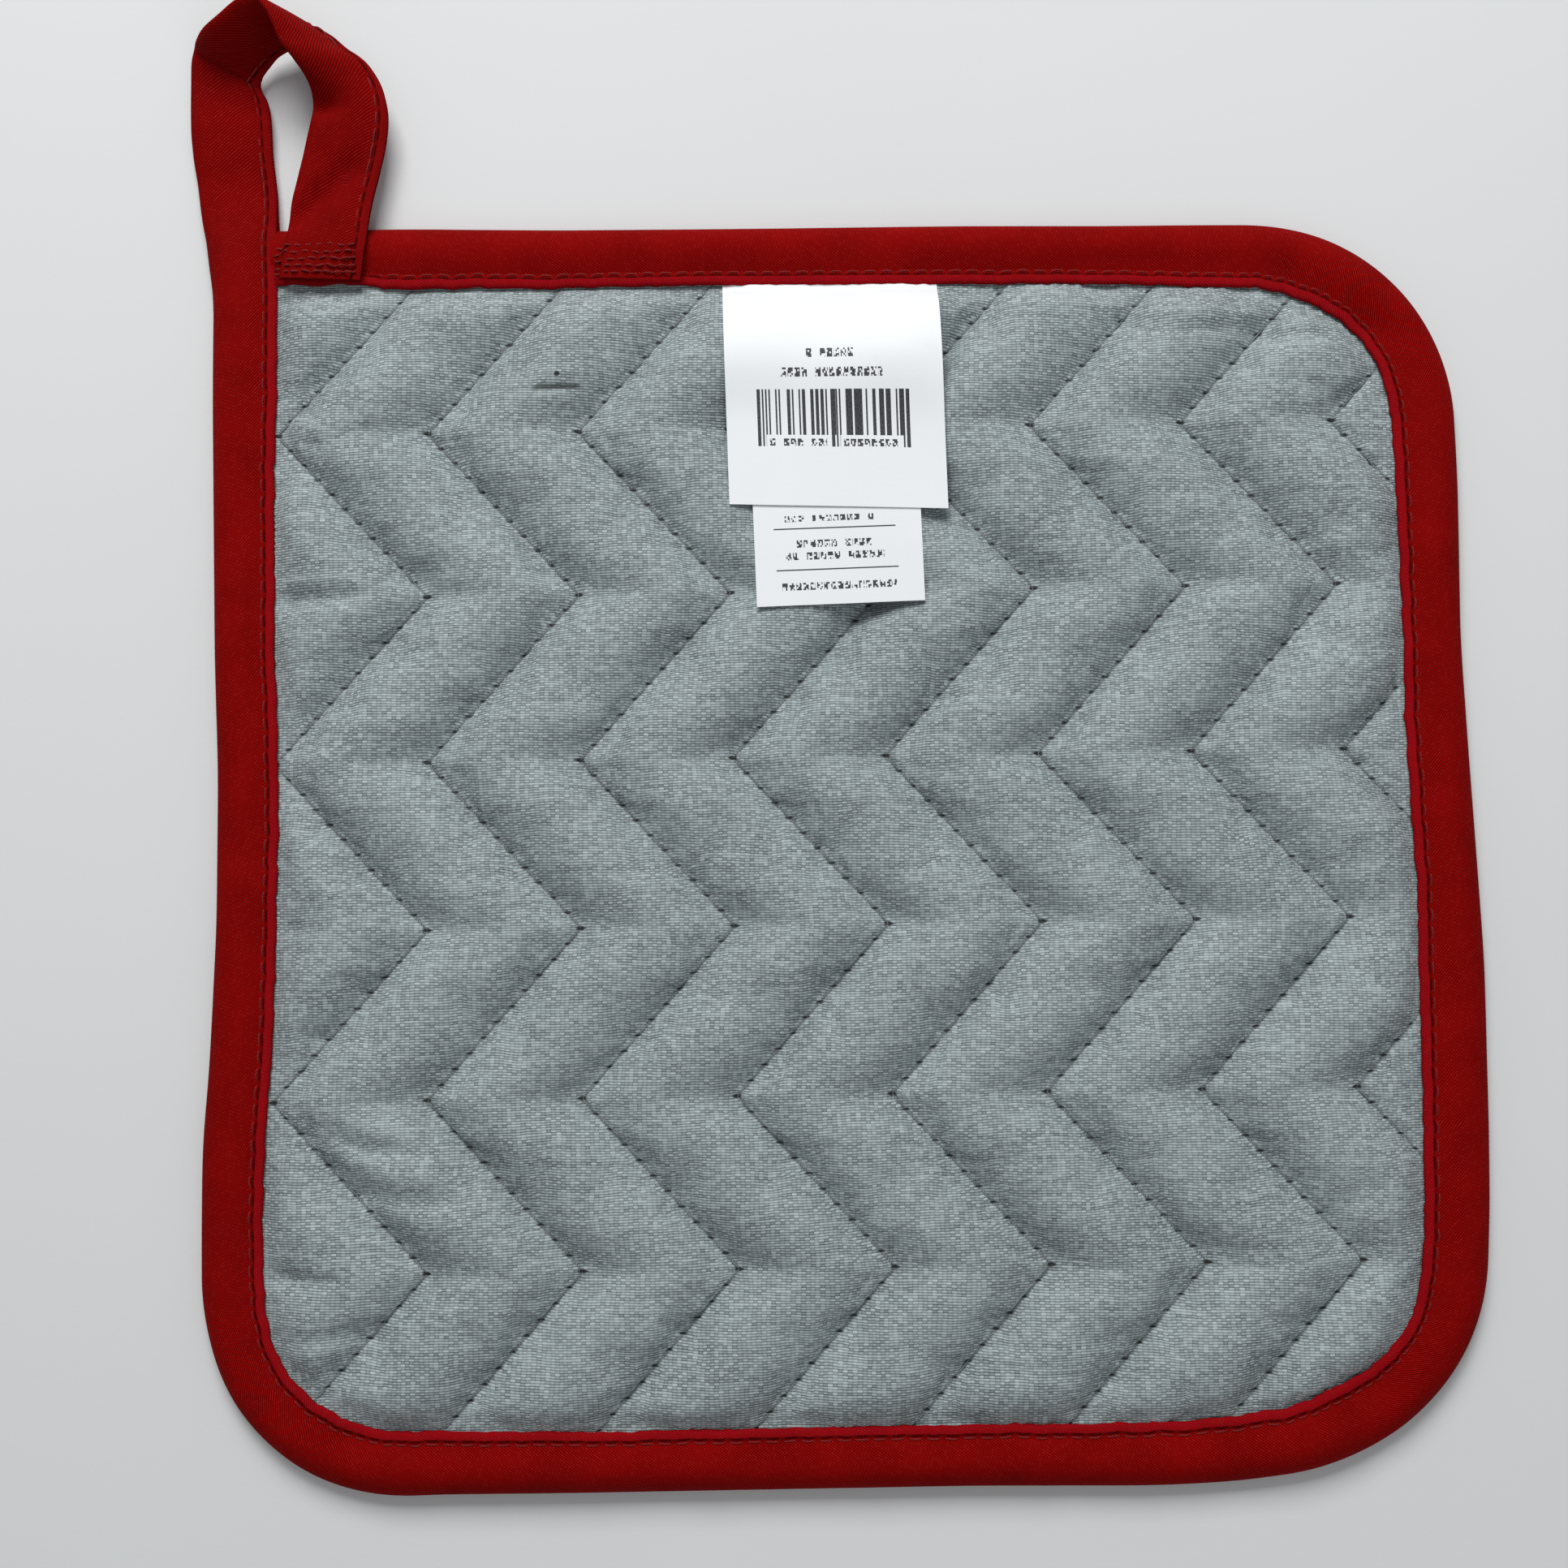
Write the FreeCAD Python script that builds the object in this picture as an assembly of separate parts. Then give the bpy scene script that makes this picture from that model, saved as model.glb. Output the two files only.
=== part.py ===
import FreeCAD, Part
import math
import os

# Square quilted pot holder. Millimetres. X right, Y towards the hanging loop's edge, Z up from the table.
# The origin is the centre of the under side, and z = 0 is what the holder rests on.

os.makedirs("parts", exist_ok=True)
V = FreeCAD.Vector

# ---- the square and its edge binding ----
PAD_SIDE = 203.2
CORNER_R = 34.0
BINDING_SHOW = 9.6
TAPE_T = 0.8
EDGE_ROUND = 0.7

# ---- layers, bottom to top ----
FRONT_CLOTH_T = 0.6
WADDING_EDGE_T = 1.4
FACE_CLOTH_T = 0.6
PUFF_WADDING = 3.2
PUFF_FACE = 3.2
EDGE_SLOPE_RUN = 9.0
SLOPE_SPARE = 0.5
PUFF_ROOT = 0.3
RISER_W = 1.0
BELOW = 1.0
ABOVE = 20.0

# ---- chevron quilting ----
ZIG_STEP = 24.6
ZIG_ROW = 27.0
FIRST_LINE_INSET = 10.4
FIRST_ROW_INSET = 34.2
VALLEY_W = 1.5
THREAD_W = 0.5
THREAD_T = 0.3
THREAD_CLEAR = 0.05
STITCH_EDGE = 2.0
STITCH_T = 0.25
STITCH_END_CLEAR = 0.1

# ---- hanging loop ----
LOOP_TAPE_W = 13.3
LOOP_TAPE_T = 1.6
SEWN_END_INSET = 19.0
SEWN_END_SHOW = 1.0
SEWN_END_GAP = 0.9
LOOP_ROOT_GAP = 0.6
LOOP_BEND_INSET = 12.2
LOOP_STRAIGHT = 18.9
LOOP_BEND_RX = 10.6
LOOP_BEND_RY = 12.8
LEFT_LEG_LEAN = 2.4
LEFT_LEG_DROP = 0.2
TWIST_CLEAR = 0.8
TURN_STEPS = 12
LEG_STEPS = 3
TACK_INSET = 1.9
TACK_ROWS = 3
TACK_STEP = 2.2
TACK_STITCH_W = 0.6
TACK_STITCH_T = 0.35
TACK_SIDE = 0.5

# ---- labels ----
LABEL_T = 0.25
LABEL_GAP = 0.3
BARCODE_W = 34.7
BARCODE_X = -0.6
BARCODE_LONG = 38.7
CARE_W = 26.3
CARE_X = -0.3
CARE_LONG = 54.1
LABEL_ROOT_GAP = 0.7

# ---- sizes that follow from the ones above ----
HALF = PAD_SIDE / 2.0
LOWER_FLAP_TOP = TAPE_T
FRONT_EDGE_TOP = LOWER_FLAP_TOP + FRONT_CLOTH_T
WADDING_TOP = FRONT_EDGE_TOP + WADDING_EDGE_T
FACE_TOP = WADDING_TOP + FACE_CLOTH_T
BINDING_TOP = FACE_TOP + TAPE_T
CREST_TOP = FACE_TOP + PUFF_FACE
STITCH_INSET = BINDING_SHOW - STITCH_EDGE
FIRST_LINE_X = -HALF + FIRST_LINE_INSET
FIRST_ROW_Y = HALF - FIRST_ROW_INSET
LABEL_ROOT_Y = HALF - BINDING_SHOW - LABEL_ROOT_GAP
LABEL_LEVEL_Y = HALF - BINDING_SHOW - EDGE_SLOPE_RUN
LABEL_STEP = LABEL_T + LABEL_GAP
SEWN_LEFT = -HALF + SEWN_END_INSET - LOOP_TAPE_W / 2.0
LINE_COUNT = int((HALF - BINDING_SHOW - FIRST_LINE_X) / ZIG_STEP) + 1
GROOVE_T = THREAD_T + THREAD_CLEAR
SEWN_END_X = -HALF + SEWN_END_INSET
SEWN_END_LOW_Y = HALF - BINDING_SHOW + SEWN_END_SHOW
TACK_LOW_Y = SEWN_END_LOW_Y + TACK_INSET
ROOT_Y = HALF + LOOP_ROOT_GAP
BEND_X = -HALF + LOOP_BEND_INSET
BEND_Y = HALF + LOOP_STRAIGHT
LEFT_LEG_Z = BINDING_TOP / 2.0 - LEFT_LEG_DROP
RIGHT_LEG_Z = BINDING_TOP + LOOP_TAPE_T / 2.0
TWIST_LIFT = LOOP_TAPE_W / 2.0 + TWIST_CLEAR - (LEFT_LEG_Z + RIGHT_LEG_Z) / 2.0


def edge_wire(inset, z):
    """Square outline with three rounded corners; the corner under the loop stays square."""
    h = HALF - inset
    r = CORNER_R - inset
    s = r * (1.0 - math.sqrt(0.5))
    top_left = V(-h, h, z)
    right_a = V(h - r, h, z)
    right_m = V(h - s, h - s, z)
    right_b = V(h, h - r, z)
    low_a = V(h, -h + r, z)
    low_m = V(h - s, -h + s, z)
    low_b = V(h - r, -h, z)
    left_a = V(-h + r, -h, z)
    left_m = V(-h + s, -h + s, z)
    left_b = V(-h, -h + r, z)
    edges = [
        Part.makeLine(top_left, right_a),
        Part.Arc(right_a, right_m, right_b).toShape(),
        Part.makeLine(right_b, low_a),
        Part.Arc(low_a, low_m, low_b).toShape(),
        Part.makeLine(low_b, left_a),
        Part.Arc(left_a, left_m, left_b).toShape(),
        Part.makeLine(left_b, top_left),
    ]
    return Part.Wire(edges)


def plate(inset, z0, z1):
    """Flat plate with the outline set in by inset, from z0 to z1."""
    return Part.Face(edge_wire(inset, z0)).extrude(V(0, 0, z1 - z0))


def ring(outer_inset, inner_inset, z0, z1):
    """Flat frame between two insets."""
    return plate(outer_inset, z0, z1).cut(plate(inner_inset, z0 - BELOW, z1 + BELOW))


def slope_block(z_base, rise):
    """Block whose sides lean in from the binding's inner edge, so the quilting dies away at the edge."""
    lean = EDGE_SLOPE_RUN / rise
    low = edge_wire(BINDING_SHOW - SLOPE_SPARE * lean, z_base - SLOPE_SPARE)
    high = edge_wire(BINDING_SHOW + (rise + SLOPE_SPARE) * lean, z_base + rise + SLOPE_SPARE)
    return Part.makeLoft([low, high], True, True)


def zigzag_rows():
    """Y of each row of quilting corners, top row first, and the way the line leans in each band."""
    rows = []
    y = FIRST_ROW_Y + ZIG_ROW * math.ceil((HALF - BINDING_SHOW - FIRST_ROW_Y) / ZIG_ROW)
    while y > -HALF + BINDING_SHOW - ZIG_ROW:
        rows.append(y)
        y = y - ZIG_ROW
    return rows


def zigzag_prism(x_corner, profile):
    """Sweep an XZ profile, given as (x, z) edges, down one zigzag line as mitred slanting prisms."""
    rows = zigzag_rows()
    pieces = []
    for i in range(len(rows) - 1):
        at_left = round((FIRST_ROW_Y - rows[i]) / ZIG_ROW) % 2 == 0
        x_start = x_corner if at_left else x_corner + ZIG_STEP
        x_end = x_corner + ZIG_STEP if at_left else x_corner
        face = Part.Face(profile(x_start, rows[i]))
        pieces.append(face.extrude(V(x_end - x_start, rows[i + 1] - rows[i], 0)))
    return pieces[0].multiFuse(pieces[1:]).removeSplitter()


def box_profile(width, z0, z1):
    """Rectangle centred on the quilting line."""
    def wire(x, y):
        h = width / 2.0
        corners = [V(x - h, y, z0), V(x + h, y, z0), V(x + h, y, z1), V(x - h, y, z1), V(x - h, y, z0)]
        return Part.makePolygon(corners)
    return wire


def puff_profile(z_base, rise):
    """One puffed strip between two quilting lines: flat under side, arched top."""
    def wire(x, y):
        x0 = x + VALLEY_W / 2.0
        x1 = x + ZIG_STEP - VALLEY_W / 2.0
        xm = (x0 + x1) / 2.0
        low0 = V(x0, y, z_base - PUFF_ROOT)
        low1 = V(x1, y, z_base - PUFF_ROOT)
        top0 = V(x0, y, z_base)
        top1 = V(x1, y, z_base)
        arch = Part.Arc(top1, V(xm, y, z_base + rise), top0).toShape()
        sides = [Part.makeLine(low0, low1), Part.makeLine(low1, top1), arch, Part.makeLine(top0, low0)]
        return Part.Wire(sides)
    return wire


def filled_below(z_edge, rise):
    """Everything under one quilted surface: z_edge in the valleys and at the edge, arched between."""
    strips = []
    for n in range(-1, LINE_COUNT):
        strips.append(zigzag_prism(FIRST_LINE_X + n * ZIG_STEP, puff_profile(z_edge, rise)))
    limits = slope_block(z_edge, rise)
    arched = [strip.common(limits) for strip in strips]
    slab = plate(TAPE_T, -BELOW, z_edge)
    return slab.multiFuse(arched).removeSplitter()


def save(name, shape):
    """Write one named piece, and say what it is."""
    solids = shape.Solids
    if len(solids) == 1:
        shape = solids[0]
    print(name, "solids", len(solids), "valid", shape.isValid(), "mm3", round(shape.Volume, 1))
    shape.exportStep("parts/" + name + ".step")


# ---- layers of the sandwich ----
def make_layers(grooves):
    """Front cloth, wadding and heat-resistant face cloth, each the space between two surfaces."""
    under_front = plate(TAPE_T, -BELOW, FRONT_CLOTH_T)
    riser = ring(TAPE_T, BINDING_SHOW + RISER_W, -BELOW, FRONT_EDGE_TOP)
    under_front = under_front.fuse(riser).removeSplitter()
    under_wadding = filled_below(WADDING_TOP, PUFF_WADDING)
    under_face = filled_below(FACE_TOP, PUFF_FACE)
    below_table = plate(-BELOW, -2 * BELOW, 0)
    lower_channel = ring(-BELOW, BINDING_SHOW, -BELOW, LOWER_FLAP_TOP)
    front_cloth = under_front.cut(below_table).cut(lower_channel).cut(grooves)
    save("front_cloth", front_cloth)
    save("wadding", under_wadding.cut(under_front))
    save("heat_face_cloth", under_face.cut(under_wadding))


# ---- quilting threads: one in each valley above, one in a groove below ----
def make_quilting(window):
    """Save each row's upper and lower thread, and return the grooves that the lower ones lie in."""
    grooves = []
    for n in range(LINE_COUNT):
        x = FIRST_LINE_X + n * ZIG_STEP
        needle = zigzag_prism(x, box_profile(THREAD_W, FACE_TOP, FACE_TOP + THREAD_T)).common(window)
        bobbin = zigzag_prism(x, box_profile(THREAD_W, THREAD_CLEAR, GROOVE_T)).common(window)
        grooves.append(zigzag_prism(x, box_profile(VALLEY_W, -BELOW, GROOVE_T)).common(window))
        save("quilt_needle_thread_" + str(n + 1), needle)
        save("quilt_bobbin_thread_" + str(n + 1), bobbin)
    return grooves


# ---- edge binding: a channel folded round the edge, and its stitches ----
def make_binding(window):
    """Channel of tape round the edge, with rounded outer folds and a groove for the lower stitches."""
    binding = plate(0, 0, BINDING_TOP)
    folds = [edge for edge in binding.Edges if edge.BoundBox.ZLength < 0.01]
    binding = binding.makeFillet(EDGE_ROUND, folds)
    binding = binding.cut(plate(TAPE_T, LOWER_FLAP_TOP, FACE_TOP)).cut(window)
    groove = ring(STITCH_INSET - VALLEY_W / 2, STITCH_INSET + VALLEY_W / 2, -BELOW, GROOVE_T)
    save("edge_binding", binding.cut(groove))


def make_binding_stitches():
    """Upper and lower stitch rows of the binding; the upper one stops where the loop's end covers it."""
    outer = STITCH_INSET - THREAD_W / 2
    inner = STITCH_INSET + THREAD_W / 2
    corner = V(SEWN_LEFT - STITCH_END_CLEAR, SEWN_END_LOW_Y - STITCH_END_CLEAR, BINDING_TOP - BELOW)
    covered = Part.makeBox(LOOP_TAPE_W + 2 * STITCH_END_CLEAR, BINDING_SHOW, 2 * BELOW, corner)
    upper = ring(outer, inner, BINDING_TOP, BINDING_TOP + STITCH_T)
    save("binding_needle_thread", upper.cut(covered))
    save("binding_bobbin_thread", ring(outer, inner, THREAD_CLEAR, GROOVE_T))


# ---- the loop's end, sewn flat on the top binding, and its bar tack ----
def make_sewn_end():
    """Flat end of the loop's tape on the binding."""
    size_y = HALF - SEWN_END_GAP - SEWN_END_LOW_Y
    end = Part.makeBox(LOOP_TAPE_W, size_y, LOOP_TAPE_T, V(SEWN_LEFT, SEWN_END_LOW_Y, BINDING_TOP))
    save("loop_sewn_end", end)


def make_bar_tack():
    """Rows of stitches joined at alternate ends, as one thread laid back and forth."""
    z = BINDING_TOP + LOOP_TAPE_T
    left = SEWN_LEFT + TACK_SIDE
    long = LOOP_TAPE_W - 2 * TACK_SIDE
    bars = []
    for i in range(TACK_ROWS):
        low = V(left, TACK_LOW_Y + i * TACK_STEP, z)
        bars.append(Part.makeBox(long, TACK_STITCH_W, TACK_STITCH_T, low))
    for i in range(TACK_ROWS - 1):
        side = (i % 2) * (long - TACK_STITCH_W)
        low = V(left + side, TACK_LOW_Y + TACK_STITCH_W / 2 + i * TACK_STEP, z)
        bars.append(Part.makeBox(TACK_STITCH_W, TACK_STEP, TACK_STITCH_T, low))
    save("loop_bar_tack", bars[0].multiFuse(bars[1:]).removeSplitter())


# ---- hanging loop: one folded tape, half twisted at the top left ----
def loop_stations():
    """Tape's middle (x, y, z), heading and twist in degrees, from the left leg round to the sewn end.

    Twist 0 lies flat with the folded edge outside, 90 stands on its sewn edge, and 180 lies flat with
    the sewn edge outside.
    """
    stations = []
    left_x = BEND_X - LOOP_BEND_RX
    right_x = BEND_X + LOOP_BEND_RX
    for i in range(LEG_STEPS):
        t = i / float(LEG_STEPS)
        x = left_x + LEFT_LEG_LEAN * (1 - t)
        y = ROOT_Y + (BEND_Y - ROOT_Y) * t
        stations.append((x, y, LEFT_LEG_Z, 90.0, 0.0))
    for i in range(TURN_STEPS + 1):
        t = i / float(TURN_STEPS)
        around = math.radians(180.0 - 180.0 * t)
        ease = t * t * (3 - 2 * t)
        x = BEND_X + LOOP_BEND_RX * math.cos(around)
        y = BEND_Y + LOOP_BEND_RY * math.sin(around)
        z = LEFT_LEG_Z + (RIGHT_LEG_Z - LEFT_LEG_Z) * ease + TWIST_LIFT * math.sin(math.pi * t) ** 2
        stations.append((x, y, z, 90.0 - 180.0 * t, 180.0 * ease))
    for i in range(LEG_STEPS):
        t = (i + 1) / float(LEG_STEPS)
        x = right_x + (SEWN_END_X - right_x) * t
        y = BEND_Y + (ROOT_Y - BEND_Y) * t
        stations.append((x, y, RIGHT_LEG_Z, -90.0, 180.0))
    return stations


def tape_section(station):
    """Rectangle across the folded tape at one station."""
    x, y, z, heading, twist = station
    run = V(math.cos(math.radians(heading)), math.sin(math.radians(heading)), 0)
    inward = V(run.y, -run.x, 0)
    turn = math.radians(twist)
    across = inward * math.cos(turn) + V(0, 0, -1) * math.sin(turn)
    normal = run.cross(across)
    middle = V(x, y, z)
    w = across * (LOOP_TAPE_W / 2)
    t = normal * (LOOP_TAPE_T / 2)
    corners = [middle - w - t, middle + w - t, middle + w + t, middle - w + t, middle - w - t]
    return Part.makePolygon(corners)


def make_loop():
    """Loft the tape through its stations."""
    sections = [tape_section(s) for s in loop_stations()]
    save("hanging_loop", Part.makeLoft(sections, True, True))


# ---- labels: thin sheets rooted at the binding's inner edge, bent over the puffs ----
def make_label(name, x_mid, width, long, lift):
    """Sheet that rises from its sewn edge and then lies level over the puffs."""
    low_y = LABEL_ROOT_Y - long
    z_root = BINDING_TOP + LABEL_GAP + lift
    z_level = CREST_TOP + LABEL_GAP + lift
    x0 = x_mid - width / 2
    lower = [V(x0, LABEL_ROOT_Y, z_root), V(x0, LABEL_LEVEL_Y, z_level), V(x0, low_y, z_level)]
    upper = [p + V(0, 0, LABEL_T) for p in reversed(lower)]
    outline = Part.makePolygon(lower + upper + [lower[0]])
    save(name, Part.Face(outline).extrude(V(width, 0, 0)))


WINDOW = plate(BINDING_SHOW, -2 * BELOW, ABOVE)
make_layers(make_quilting(WINDOW))
make_binding(WINDOW)
make_binding_stitches()
make_sewn_end()
make_bar_tack()
make_loop()
make_label("care_label", CARE_X, CARE_W, CARE_LONG, 0.0)
make_label("barcode_label", BARCODE_X, BARCODE_W, BARCODE_LONG, LABEL_STEP)
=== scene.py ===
"""Square quilted pot holder: silver-grey face, red bound edge, hanging loop and two sewn-in labels."""

import logging
import math
from dataclasses import dataclass
from enum import Enum
from typing import Callable

import bmesh
import bpy
import numpy as np
from mathutils import Matrix, Vector
from mathutils.bvhtree import BVHTree


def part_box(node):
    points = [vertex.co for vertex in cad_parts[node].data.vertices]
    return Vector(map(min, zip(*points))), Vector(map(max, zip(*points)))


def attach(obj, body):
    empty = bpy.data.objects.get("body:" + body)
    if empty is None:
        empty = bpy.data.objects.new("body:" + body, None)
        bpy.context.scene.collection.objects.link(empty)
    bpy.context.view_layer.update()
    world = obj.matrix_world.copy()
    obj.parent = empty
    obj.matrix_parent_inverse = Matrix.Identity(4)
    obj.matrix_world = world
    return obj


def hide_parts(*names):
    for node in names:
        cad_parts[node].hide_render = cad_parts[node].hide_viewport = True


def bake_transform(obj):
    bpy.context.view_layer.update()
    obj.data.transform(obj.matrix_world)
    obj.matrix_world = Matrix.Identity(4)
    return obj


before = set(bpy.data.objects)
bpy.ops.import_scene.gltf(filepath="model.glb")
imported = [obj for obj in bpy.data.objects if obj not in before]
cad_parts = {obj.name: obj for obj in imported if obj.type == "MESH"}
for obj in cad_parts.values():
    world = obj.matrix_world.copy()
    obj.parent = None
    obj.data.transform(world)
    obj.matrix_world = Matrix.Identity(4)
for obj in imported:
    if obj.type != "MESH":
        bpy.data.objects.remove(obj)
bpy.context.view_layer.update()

LOG = logging.getLogger("pot_holder")
MM = 0.001
ROUNDING = 1e-9  # spare length that keeps the ends of a stretch inside it
WELD = 0.004  # corners nearer than this are joined, in millimetres
Colour = tuple[float, float, float]
Array = np.ndarray
Placer = Callable[[Array, Array], Array]
Piece = bpy.types.Object
Socket = bpy.types.NodeSocket
Tree = bpy.types.NodeTree


class Side(Enum):
    """Which face of the holder a piece belongs to."""

    UPPER = 1
    LOWER = -1


class Map(Enum):
    """Names of the UV maps, all in millimetres."""

    CLOTH = "cloth_mm"
    SEAM = "seam_mm"
    TAPE = "tape_mm"
    LABEL = "label_mm"
    THREAD = "thread_mm"


class Print(Enum):
    """What a printed block on a label looks like."""

    BARS = "bars"
    WORDS = "words"
    RULE = "rule"


# ---------------------------------------------------------------- sizes shared by the sub-assemblies


@dataclass(frozen=True)
class Outline:
    """The square's outline, in millimetres: three round corners and a square one under the loop.

    Args:
        half: half the side.
        corner: radius of the round corners.
        show: width of the binding seen on each face.
    """

    half: float
    corner: float = 34.0
    show: float = 9.6

    def runs(self) -> list[tuple[str, float]]:
        """Stretches of the edge, clockwise from the top left corner, with their lengths.

        Returns:
            Pairs of a stretch's name and its length.
        """
        straight = 2 * self.half - self.corner
        arc = math.pi / 2 * self.corner
        return [("top", straight), ("arc_tr", arc), ("right", straight - self.corner), ("arc_br", arc),
                ("bottom", straight - self.corner), ("arc_bl", arc), ("left", straight)]

    def length(self) -> float:
        """Length of the outer edge from the top left corner round to it again."""
        return sum(size for _, size in self.runs())

    def place(self, along: Array, inset: Array) -> Array:
        """Points set in from the outline.

        Args:
            along: distance along the outer edge, clockwise from the top left corner.
            inset: distance in from the outer edge.

        Returns:
            An array of x, y points.
        """
        h, r = self.half, self.corner
        out = np.zeros((len(along), 2))
        start = 0.0
        for name, size in self.runs():
            here = (along >= start - ROUNDING) & (along <= start + size + ROUNDING)
            t = along[here] - start
            d = inset[here]
            sine, cosine = (r - d) * np.sin(t / r), (r - d) * np.cos(t / r)
            spots = {
                "top": (-h + t, h - d), "arc_tr": (h - r + sine, h - r + cosine),
                "right": (h - d, h - r - t), "arc_br": (h - r + cosine, -h + r - sine),
                "bottom": (h - r - t, -h + d), "arc_bl": (-h + r - sine, -h + r - cosine),
                "left": (-h + d, -h + r + t),
            }
            out[here] = np.column_stack(spots[name])
            start += size
        return out

    def along(self, x: Array, y: Array) -> Array:
        """Distance along the outer edge of the place nearest each point.

        Args:
            x: points, across.
            y: points, up.

        Returns:
            Millimetres clockwise from the top left corner.
        """
        h, r = self.half, self.corner
        starts = np.cumsum([0.0] + [size for _, size in self.runs()])
        right, top, low, left = x > h - r, y > h - r, y < r - h, x < r - h
        return np.select(
            [right & top, right & low, left & low, y >= np.abs(x), x >= np.abs(y), -y >= np.abs(x)],
            [starts[1] + r * np.arctan2(x - h + r, y - h + r),
             starts[3] + r * np.arctan2(-y - h + r, x - h + r),
             starts[5] + r * np.arctan2(-x - h + r, -y - h + r),
             x + h, starts[2] + h - r - y, starts[4] + h - r - x],
            starts[6] + y + h - r)

    def depth(self, x: Array, y: Array) -> Array:
        """How far inside the outline each point lies, in millimetres; negative outside.

        Args:
            x: points, across.
            y: points, up.

        Returns:
            The depths.
        """
        h, r = self.half, self.corner
        ax, ay = np.abs(x), np.abs(y)
        plain = h - np.maximum(ax, ay)
        round_in = r - np.hypot(ax - (h - r), ay - (h - r))
        at_corner = (ax > h - r) & (ay > h - r) & ~((x < 0) & (y > 0))
        return np.where(at_corner, round_in, plain)


@dataclass(frozen=True)
class Quilting:
    """Chevron quilting, in millimetres.

    Args:
        step: spacing of the zigzag lines, and how far each swings sideways.
        row: height of one leg of a zigzag.
        first_x: left corners of the first line.
        first_y: the row of left corners nearest the top.
        lines: how many lines are sewn.
        leg_stitches: stitches in one leg, with a needle hole at each corner.
    """

    step: float = 24.6
    row: float = 27.0
    first_x: float = -91.2
    first_y: float = 67.4
    lines: int = 8
    leg_stitches: int = 11

    @property
    def leg(self) -> float:
        """Length of one leg of a zigzag."""
        return math.hypot(self.step, self.row)

    @property
    def stitch(self) -> float:
        """Length of one stitch."""
        return self.leg / self.leg_stitches

    def swing(self, y: Array) -> Array:
        """Sideways place of a zigzag at height y, measured from its left corners."""
        phase = np.abs((self.first_y - y) / self.row) % 2.0
        return self.step * np.where(phase < 1.0, phase, 2.0 - phase)

    def along(self, y: Array) -> Array:
        """Distance along a line from the first row of corners."""
        return (self.first_y - y) * self.leg / self.row

    def lean(self) -> float:
        """Turns a sideways distance from a line into the distance square to it."""
        return self.row / self.leg


@dataclass(frozen=True)
class TapeSize:
    """The folded tape, in millimetres.

    Args:
        width: width of the folded tape.
        stitch: length of one stitch along it.
        bound_share: place of the stitches across the tape that wraps the pad, from the sewn edge.
        flat_share: the same where the tape is folded flat.
        stitch_radius: half the thickness of its thread.
        stitch_step: spacing of the points of its thread.
    """

    width: float = 13.3
    stitch: float = 2.8
    bound_share: float = 0.205
    flat_share: float = 0.15
    stitch_radius: float = 0.17
    stitch_step: float = 0.35


PAD_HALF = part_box("edge_binding")[1].x / MM
OUTLINE = Outline(PAD_HALF)
QUILT = Quilting()
TAPE = TapeSize()


@dataclass(frozen=True)
class EdgeShift:
    """How far the binding strays from the true outline at one place, in millimetres.

    Args:
        along: distance along the outer edge, clockwise from the top left corner.
        outer: how far its outer edge lies outside the outline.
        inner: how much further in its inner edge reaches.
    """

    along: float
    outer: float
    inner: float


@dataclass(frozen=True)
class EdgeShape:
    """Where the sewn binding's two edges really run, a little off the true outline.

    Args:
        outline: the true outline.
        shifts: how far the edges stray, place by place.
    """

    outline: Outline
    shifts: tuple[EdgeShift, ...] = tuple(EdgeShift(*row) for row in (
        (0, 0.8, 0.2), (31, 0.8, 0.4), (57, 0.2, 0.6), (84, 0.0, 0.5), (123, -0.1, 0.9),
        (149, -0.5, 1.3), (161, -0.5, 2.0), (173, -0.7, 2.3), (186, -0.2, 2.6), (200, 0.0, 1.5),
        (215, 0.0, 1.4), (233, 0.2, 0.9), (259, -0.5, 0.7), (278, 0.0, 1.0), (298, 0.6, 0.2),
        (311, 1.0, 0.4), (338, 0.5, 0.9), (350, 0.1, 1.2), (360, -0.7, 2.1), (372, -1.3, 2.2),
        (385, -1.9, 2.8), (398, -2.0, 3.7), (408, -1.3, 2.4), (418, 0.0, 0.8), (431, 0.5, -0.1),
        (460, 0.1, 0.1), (523, 0.3, -0.2), (546, 0.2, 0.4), (564, 1.4, -0.6), (580, 1.5, -1.3),
        (592, 0.8, -0.3), (607, 1.0, -0.4), (620, 1.0, -0.3), (633, 0.0, 0.8), (655, -0.9, 1.4),
        (680, -0.9, 1.6), (698, -0.2, 0.8), (725, 0.3, 0.5), (743, 0.6, 0.8), (780, 0.6, 0.8),
    ))

    def stray(self, along: Array) -> tuple[Array, Array]:
        """How far the outer and inner edges stray at each place along the edge.

        Args:
            along: distances along the outer edge.

        Returns:
            The outer edge's and the inner edge's.
        """
        knots = [s.along for s in self.shifts]
        return (eased(along, knots, [s.outer for s in self.shifts]),
                eased(along, knots, [s.inner for s in self.shifts]))

    def within(self, x: Array, y: Array) -> Array:
        """How far inside the binding's outer edge each point lies, in millimetres."""
        return self.outline.depth(x, y) + self.stray(self.outline.along(x, y))[0]

    def inside(self, x: Array, y: Array) -> Array:
        """How far inside the binding's inner edge each point lies, in millimetres; negative under it."""
        return self.outline.depth(x, y) - self.outline.show - self.stray(self.outline.along(x, y))[1]


EDGE = EdgeShape(OUTLINE)


# ---------------------------------------------------------------- mesh helpers


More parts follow.
